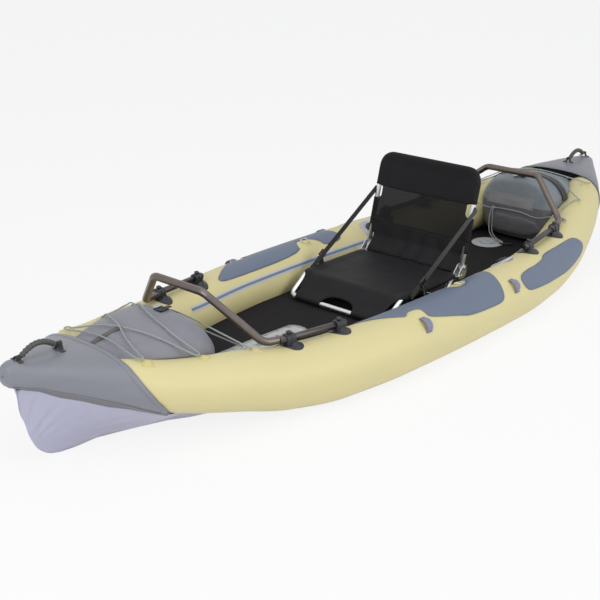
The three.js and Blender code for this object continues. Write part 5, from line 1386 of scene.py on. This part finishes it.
def on_back(w, q):
    """Point of the back cloth: w across it and q up the back from the hinge."""
    near, way, gap = toward(Vector((w, q)), back_plane)
    if gap > 0 and q > sling_from - 0.02:
        turn = gap / sleeve_radius
        centre = hinge + back_run * near.y + Vector((0.0, near.x, 0.0))
        out = back_run * way.y + Vector((0.0, way.x, 0.0))
        return centre + (out * sin(turn) + back_normal * cos(turn)) * sleeve_radius
    wide = 1 - (w / seat_half) ** 2
    slack = 0.0026 * wide * sin(pi * clamped((q - 0.02) / 0.3))
    lower = clamped((0.11 - q) / 0.1)
    crumple = 0.001 * rough(w * 13, q * 15, 7.0)
    crumple += lower * 0.0068 * sin(w * 72 + 3 * rough(w * 6, q * 5, 3.0)) * wide
    forward = 0.03 * clamped((0.038 - q) / 0.05)
    lift = sleeve_radius - 0.0052 * clamped(-gap / 0.035) - slack * 2 - 0.008 * lower + crumple + forward
    return hinge + back_run * q + Vector((0.0, w, 0.0)) + back_normal * lift


top_turn = [(seat_half - back_bend + (back_bend + side_wrap) * sin(radians(a)),
             back_height - back_bend + (back_bend + side_wrap) * cos(radians(a))) for a in range(0, 91, 15)]
band_outline = mirrored(top_turn + [(seat_half + side_wrap, notch_to), (seat_half - 0.012, notch_to - 0.003),
                                    (seat_half - 0.024, band_from)])
mesh_outline = mirrored([(seat_half - 0.024, band_from + 0.004), (seat_half - 0.024, notch_from + 0.01),
                         (seat_half - 0.014, notch_from), (seat_half + side_wrap, notch_from),
                         (seat_half + side_wrap, mesh_from)])
lower_outline = mirrored([(seat_half + side_wrap, mesh_from + 0.004), (seat_half + side_wrap, sling_from),
                          (0.204, sling_from - 0.008), (0.2, 0.0), (0.198, -0.026)])
for sheet_name, flat, material, gathered in (
        ("seat_back_band", rounded_outline(band_outline, 1), sling_cloth, 1.0),
        ("seat_back_mesh", mesh_outline, mesh_cloth, 1.0),
        ("seat_back_lower", lower_outline, sling_cloth, 1.07)):
    cloth = cut_panel(sheet_name, flat, seat_spacing, on_back, sling_skin)
    dressed(turned_outward(cloth, back_normal), "seat_back", material, "seat_fabric", "seat_back_sling")


def back_seam(spots):
    return [on_back(w, q) + back_normal * 0.0012 for w, q in spots]


def pan_seam(spots):
    return [on_pan(w, s) + Vector((0, 0, 0.0012)) for w, s in spots]


seam_lines = [back_seam([(w, q) for w in even(-0.19, 0.19, 24)])
              for q in (band_from + 0.003, band_from - 0.006, mesh_from + 0.006, mesh_from - 0.003)]
for _, side in sides:
    for upward in (even(0.25, 0.32, 10), even(0.06, 0.18, 12)):
        seam_lines.append(back_seam([(side * 0.197, q) for q in upward]))
back_stitches = repeated("seat_back_stitches", seam_lines, stitch, 0.006, black_thread)
dressed(back_stitches, "seat_back", None, "seat_fabric")
pan_seams = [pan_seam([(side * 0.2, s) for s in even(0.012, 0.312, 30)]) for _, side in sides]
pan_seams += [pan_seam([(side * w, pan_length - 0.016) for w in even(0.085, 0.185, 10)])
              for _, side in sides]
pan_stitches = repeated("seat_pan_stitches", pan_seams, stitch, 0.006, black_thread)
dressed(pan_stitches, "hull", None, "seat_fabric")


# Seat straps. Black 24 mm webbing runs from the back frame down to the pan rail on each side, with a
# ladder buckle near its lower end. The real webbing slackens when the back folds; here it stays straight.
def crossed_bars(place, corner, *groups):
    """Blocks of a few sizes, each set at its own shifts from a place."""
    return [rounded_block("bar", size, corner, place @ Matrix.Translation(shift))
            for size, shifts in groups for shift in shifts]


strap_inner = 0.235
strap_run = (strap_top - strap_foot).normalized()
strap_across = Vector((-strap_run.z, 0.0, strap_run.x))
strap_length = (strap_top - strap_foot).length
buckle_plastic = moulded("black_buckle_plastic", tint(26, 27, 31), 0.42)
for side_name, side in sides:
    outward = Vector((0.0, side, 0.0))
    rows = []
    for along in even(-0.009, strap_length + 0.009, 80):
        base = strap_foot + strap_run * along + outward * (strap_inner + 0.0011)
        drift = 0.0004 * rough(along * 25, side, 0.0)
        rows.append([base + strap_across * wide + outward * (layer + drift)
                     for wide, layer in strap_section(0.024, 0.0018)])
    strap = closed(side_name + "_strap_webbing", rows)
    dressed(strap, "hull", black_webbing, "seat_webbing", side_name + "_seat_strap")
    at = strap_foot + strap_run * 0.07 + outward * (strap_inner + 0.0018)
    place = Matrix.Translation(at) @ Matrix((strap_run, strap_across * side, outward)).transposed().to_4x4()
    buckle = joined(side_name + "_strap_buckle", crossed_bars(
        place, 0.0015, ((0.005, 0.031, 0.005), ((-0.012, 0, 0), (0, 0, 0), (0.012, 0, 0))),
        ((0.031, 0.005, 0.0055), ((0, -0.0135, 0), (0, 0.0135, 0)))))
    dressed(buckle, "hull", buckle_plastic, "seat_webbing")
    tail_route = rounded_path([at - strap_run * 0.012 + Vector((x, side * out, z)) for x, out, z in (
        (0, 0.004, 0), (0.004, 0.008, -0.008), (0.012, 0.009, -0.03), (0.02, 0.006, -0.05))], 3)
    tail = swept(side_name + "_strap_tail", tail_route, 1.0, section=strap_section(0.022, 0.0016))
    dressed(tail, "hull", black_webbing, "seat_webbing")
    for soft in (strap, buckle, tail):
        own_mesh(soft)


# Gear bags. A soft roll-top bag fills each end between the tubes and under the cover's mouth. Coated
# cloth sags between the elastic cords, which press grooves into it.
bag_power = 2.6


def bag_section(shares, along):
    """Half width, bottom and top of a bag at a share of the hull's half length."""
    half, low, high = (smooth(shares["at"], shares[key], along) for key in ("half", "bottom", "top"))
    return tube_spacing * half, end_rise * low, end_rise * high


def pressed_bag(name, shares, end, floor_level, cord_line):
    """Bag lofted along the boat, kept clear of the tubes and floor, with a groove under its cord."""
    dense = []
    for a, b in zip(cord_line, cord_line[1:]):
        steps = max(1, int((b - a).length / 0.003))
        dense += [a.lerp(b, n / steps) for n in range(steps)]
    tree = kdtree.KDTree(len(dense))
    for k, point in enumerate(dense):
        tree.insert(point, k)
    tree.balance()
    first, last = shares["at"][0], shares["at"][-1]
    rows = []
    for turn in even(0, pi, 96):
        along = first + (last - first) * (0.5 - 0.5 * cos(turn))
        x = end * along * half_length
        half, low, high = bag_section(shares, along)
        row = []
        for n in range(96):
            angle = 2 * pi * (n + 0.5) / 96
            c, s = cos(angle), sin(angle)
            fold = 0.005 * rough(x * 7, 2.2 * c, 2.2 * s) + 0.0022 * rough(x * 20, 5 * c, 5 * s + 3) - 0.003
            y = signed_power(c, 2 / bag_power) * (half + fold)
            z = signed_power(s, 2 / bag_power) * ((high - low) / 2 + fold)
            point = Vector((x, y, (low + high) / 2 + z))
            out = Vector((0.0, y, z)).normalized()
            gap = tree.find(point)[0] - point
            over = gap.dot(out)
            beside = (gap - out * over).length
            if beside < 0.04 and over > -0.03:
                point -= out * exp(-(beside / 0.011) ** 2) * max(0.0, 0.0042 - over)
                point -= out * 0.0025 * exp(-(beside / 0.02) ** 2)
            side_y, point.z = clear_of_tube(point.x, abs(point.y), point.z, 0.0012)
            point.y = copysign(side_y, point.y)
            point.z = max(point.z, floor_level)
            row.append(point)
        rows.append(row)
    for way, bulge, base in ((-1, 0.006, rows[0]), (1, 0.004, rows[-1])):
        middle = sum(base, Vector()) / len(base)
        rounding = []
        for angle in even(0, pi / 2, 8)[1:]:
            scale = max(0.01, cos(angle) ** 0.75)
            ahead = end * way * bulge * sin(angle)
            rounding.append([Vector((p.x + ahead, middle.y + (p.y - middle.y) * scale,
                                     max(middle.z + (p.z - middle.z) * scale, floor_level))) for p in base])
        rows = rounding[::-1] + rows if way < 0 else rows + rounding
    return closed(name, rows)


bow_bag_shares = {
    "at": [0.5825, 0.588, 0.6, 0.625, 0.65, 0.6875, 0.7375, 0.785, 0.8125],
    "half": [0.3, 0.37, 0.43, 0.49, 0.51, 0.5, 0.44, 0.36, 0.3],
    "bottom": [0.5, 0.44, 0.425, 0.425, 0.43, 0.5, 0.62, 0.78, 0.9],
    "top": [1.28, 1.42, 1.55, 1.67, 1.71, 1.71, 1.67, 1.61, 1.55],
}
stern_bag_shares = {
    "at": [0.6013, 0.61, 0.625, 0.645, 0.67, 0.7, 0.74, 0.78, 0.8125],
    "half": [0.34, 0.41, 0.46, 0.49, 0.49, 0.45, 0.38, 0.3, 0.24],
    "bottom": [0.55, 0.45, 0.425, 0.425, 0.46, 0.56, 0.75, 0.95, 1.1],
    "top": [0.98, 1.35, 1.74, 1.82, 1.85, 1.82, 1.74, 1.65, 1.57],
}
bow_bag_cloth = coated_cloth("grey_bag_cloth", tint(137, 137, 147), 0.92, 0.48, 0.45, 0.0011, 5.0)
stern_bag_cloth = coated_cloth("teal_grey_bag_cloth", tint(130, 139, 146), 0.92, 0.5, 0.4, 0.0011, 5.0)
roll_top, roll_back = 0.236, 1.06
shades = stern_bag_cloth.node_tree
where = node(shades, "SeparateXYZ", {0: object_place(shades)}).outputs
on_roll = maths(shades, "MINIMUM", maths(shades, "LESS_THAN", where["Z"], roll_top),
                maths(shades, "LESS_THAN", where["X"], roll_back))
bag_colour = shades.nodes["Principled BSDF"].inputs["Base Color"]
roll_mix = node(shades, "Mix", {"Factor": on_roll, 6: bag_colour.links[0].from_socket,
                                7: (*tint(104, 103, 109), 1.0)}, data_type="RGBA")
shades.links.new(roll_mix.outputs[2], bag_colour)
panel_cloth = coated_cloth("ribbed_grey_panel", tint(152, 151, 155), 0.92, 0.6, 0.3, 0.004)
bow_bag = pressed_bag("bow_bag", bow_bag_shares, -1, floor_face + 0.0027, rounded_path(bow_cord_route, 2))
dressed(bow_bag, "hull", bow_bag_cloth, "bow_bag_fabric", "bow_gear_bag")
stern_bag = pressed_bag("stern_bag", stern_bag_shares, 1, floor_face + 0.0008,
                        rounded_path(stern_cord_route, 2))
dressed(stern_bag, "hull", stern_bag_cloth, "stern_bag_fabric", "stern_gear_bag")
bag_surface = BVHTree.FromPolygons([v.co for v in stern_bag.data.vertices],
                                   [tuple(face.vertices) for face in stern_bag.data.polygons])


def on_bag_front(y, z, lift):
    """Point on the front of the stern bag, seen from the seat."""
    spot, normal, _, _ = bag_surface.ray_cast(Vector((0.6, y, z)), Vector((1.0, 0.0, 0.0)))
    return spot + normal * copysign(lift, -normal.x)


panel_port, panel_starboard, panel_low, panel_high = -0.09, 0.14, 0.222, 0.272
rows = [[on_bag_front(y, z, 0.0012 if 0 < n < 40 and 0 < k < 16 else 0.0003)
         for n, y in enumerate(even(panel_port, panel_starboard, 40))]
        for k, z in enumerate(even(panel_low, panel_high, 16))]
front_panel = turned_outward(grid_object("stern_bag_panel", rows), Vector((-1, 0, 0)))
dressed(front_panel, "hull", panel_cloth, "stern_bag_fabric")
rim = [row[1] for row in rows[1:-1]] + rows[-2][1:-1]
rim += [row[-2] for row in rows[-2:0:-1]] + rows[1][-2:0:-1]
piping = swept("stern_bag_piping", rim, 0.0013, 8, endless=True)
dressed(piping, "hull", stern_bag_cloth, "stern_bag_fabric")


def over_bag(shares, x, y, lift):
    """Point on top of a bag, above its highest cloth."""
    half, low, high = bag_section(shares, abs(x) / half_length)
    rise = (1 - min(1.0, abs(y) / half) ** bag_power) ** (1 / bag_power)
    return Vector((x, y, (low + high) / 2 + rise * (high - low) / 2 + lift))


belt_share, belt_lift = 0.67375, 0.0012
half, low, high = bag_section(stern_bag_shares, belt_share)
rows = []
for degrees in even(172, 8, 80):
    y = signed_power(cos(radians(degrees)), 2 / bag_power) * (half + belt_lift)
    rise = signed_power(sin(radians(degrees)), 2 / bag_power) * ((high - low) / 2 + belt_lift)
    out = Vector((0.0, y, rise)).normalized()
    side_y, z = clear_of_tube(belt_share * half_length, abs(y), (low + high) / 2 + rise, 0.003)
    rows.append([Vector((belt_share * half_length + wide, copysign(side_y, y), z)) + out * layer
                 for wide, layer in strap_section(0.038, 0.0022)])
dressed(closed("stern_bag_belt", rows), "hull", black_webbing, "seat_webbing", "stern_bag_strap")
brown_webbing = webbing("brown_webbing", tint(92, 82, 78), 0.8)
stripe = closed("bow_bag_stripe", [[over_bag(bow_bag_shares, x, wide, layer - 0.0008)
                                    for wide, layer in strap_section(0.02, 0.0024)]
                                   for x in even(-1.19, -1.31, 40)])
dressed(stripe, "hull", brown_webbing, "bow_bag_fabric")
pale_tag = finish("pale_tag", tint(184, 198, 206), 0.5)[0]
for bag_name, shares, end, x in (("bow", bow_bag_shares, -1, -1.025), ("stern", stern_bag_shares, 1, 1.03)):
    flat_on = Matrix.Translation(over_bag(shares, x, 0.0, -0.002))
    parts = crossed_bars(flat_on, 0.0018, ((0.034, 0.006, 0.006), ((0, -0.014, 0), (0, 0.014, 0))),
                         ((0.006, 0.034, 0.006), ((-0.014, 0, 0), (0.014, 0, 0))))
    parts += crossed_bars(flat_on, 0.0015, ((0.05, 0.016, 0.004), ((0.012, 0, 0.001),)))
    dressed(joined(bag_name + "_bag_buckle", parts), "hull", buckle_plastic, bag_name + "_bag_fabric")
    tag_place = flat_on @ Matrix.Translation((-0.012 * end, 0.03, 0.0012)) @ Matrix.Rotation(0.35, 4, "Z")
    tag = rounded_block(bag_name + "_bag_tag", (0.03, 0.018, 0.0012), 0.0004, tag_place)
    dressed(tag, "hull", pale_tag, bag_name + "_bag_fabric")
knot_route = rounded_path([
    (0.957, 0.102, 0.2085), (0.964, 0.098, 0.2115), (0.967, 0.092, 0.2085), (0.961, 0.09, 0.2035),
    (0.955, 0.096, 0.205), (0.958, 0.103, 0.2095)], 3)
dressed(swept("hook_loop_knot", knot_route, 0.0021, 10), "hull", elastic, "elastic_cord")


bpy.data.objects.remove(stitch, do_unlink=True)
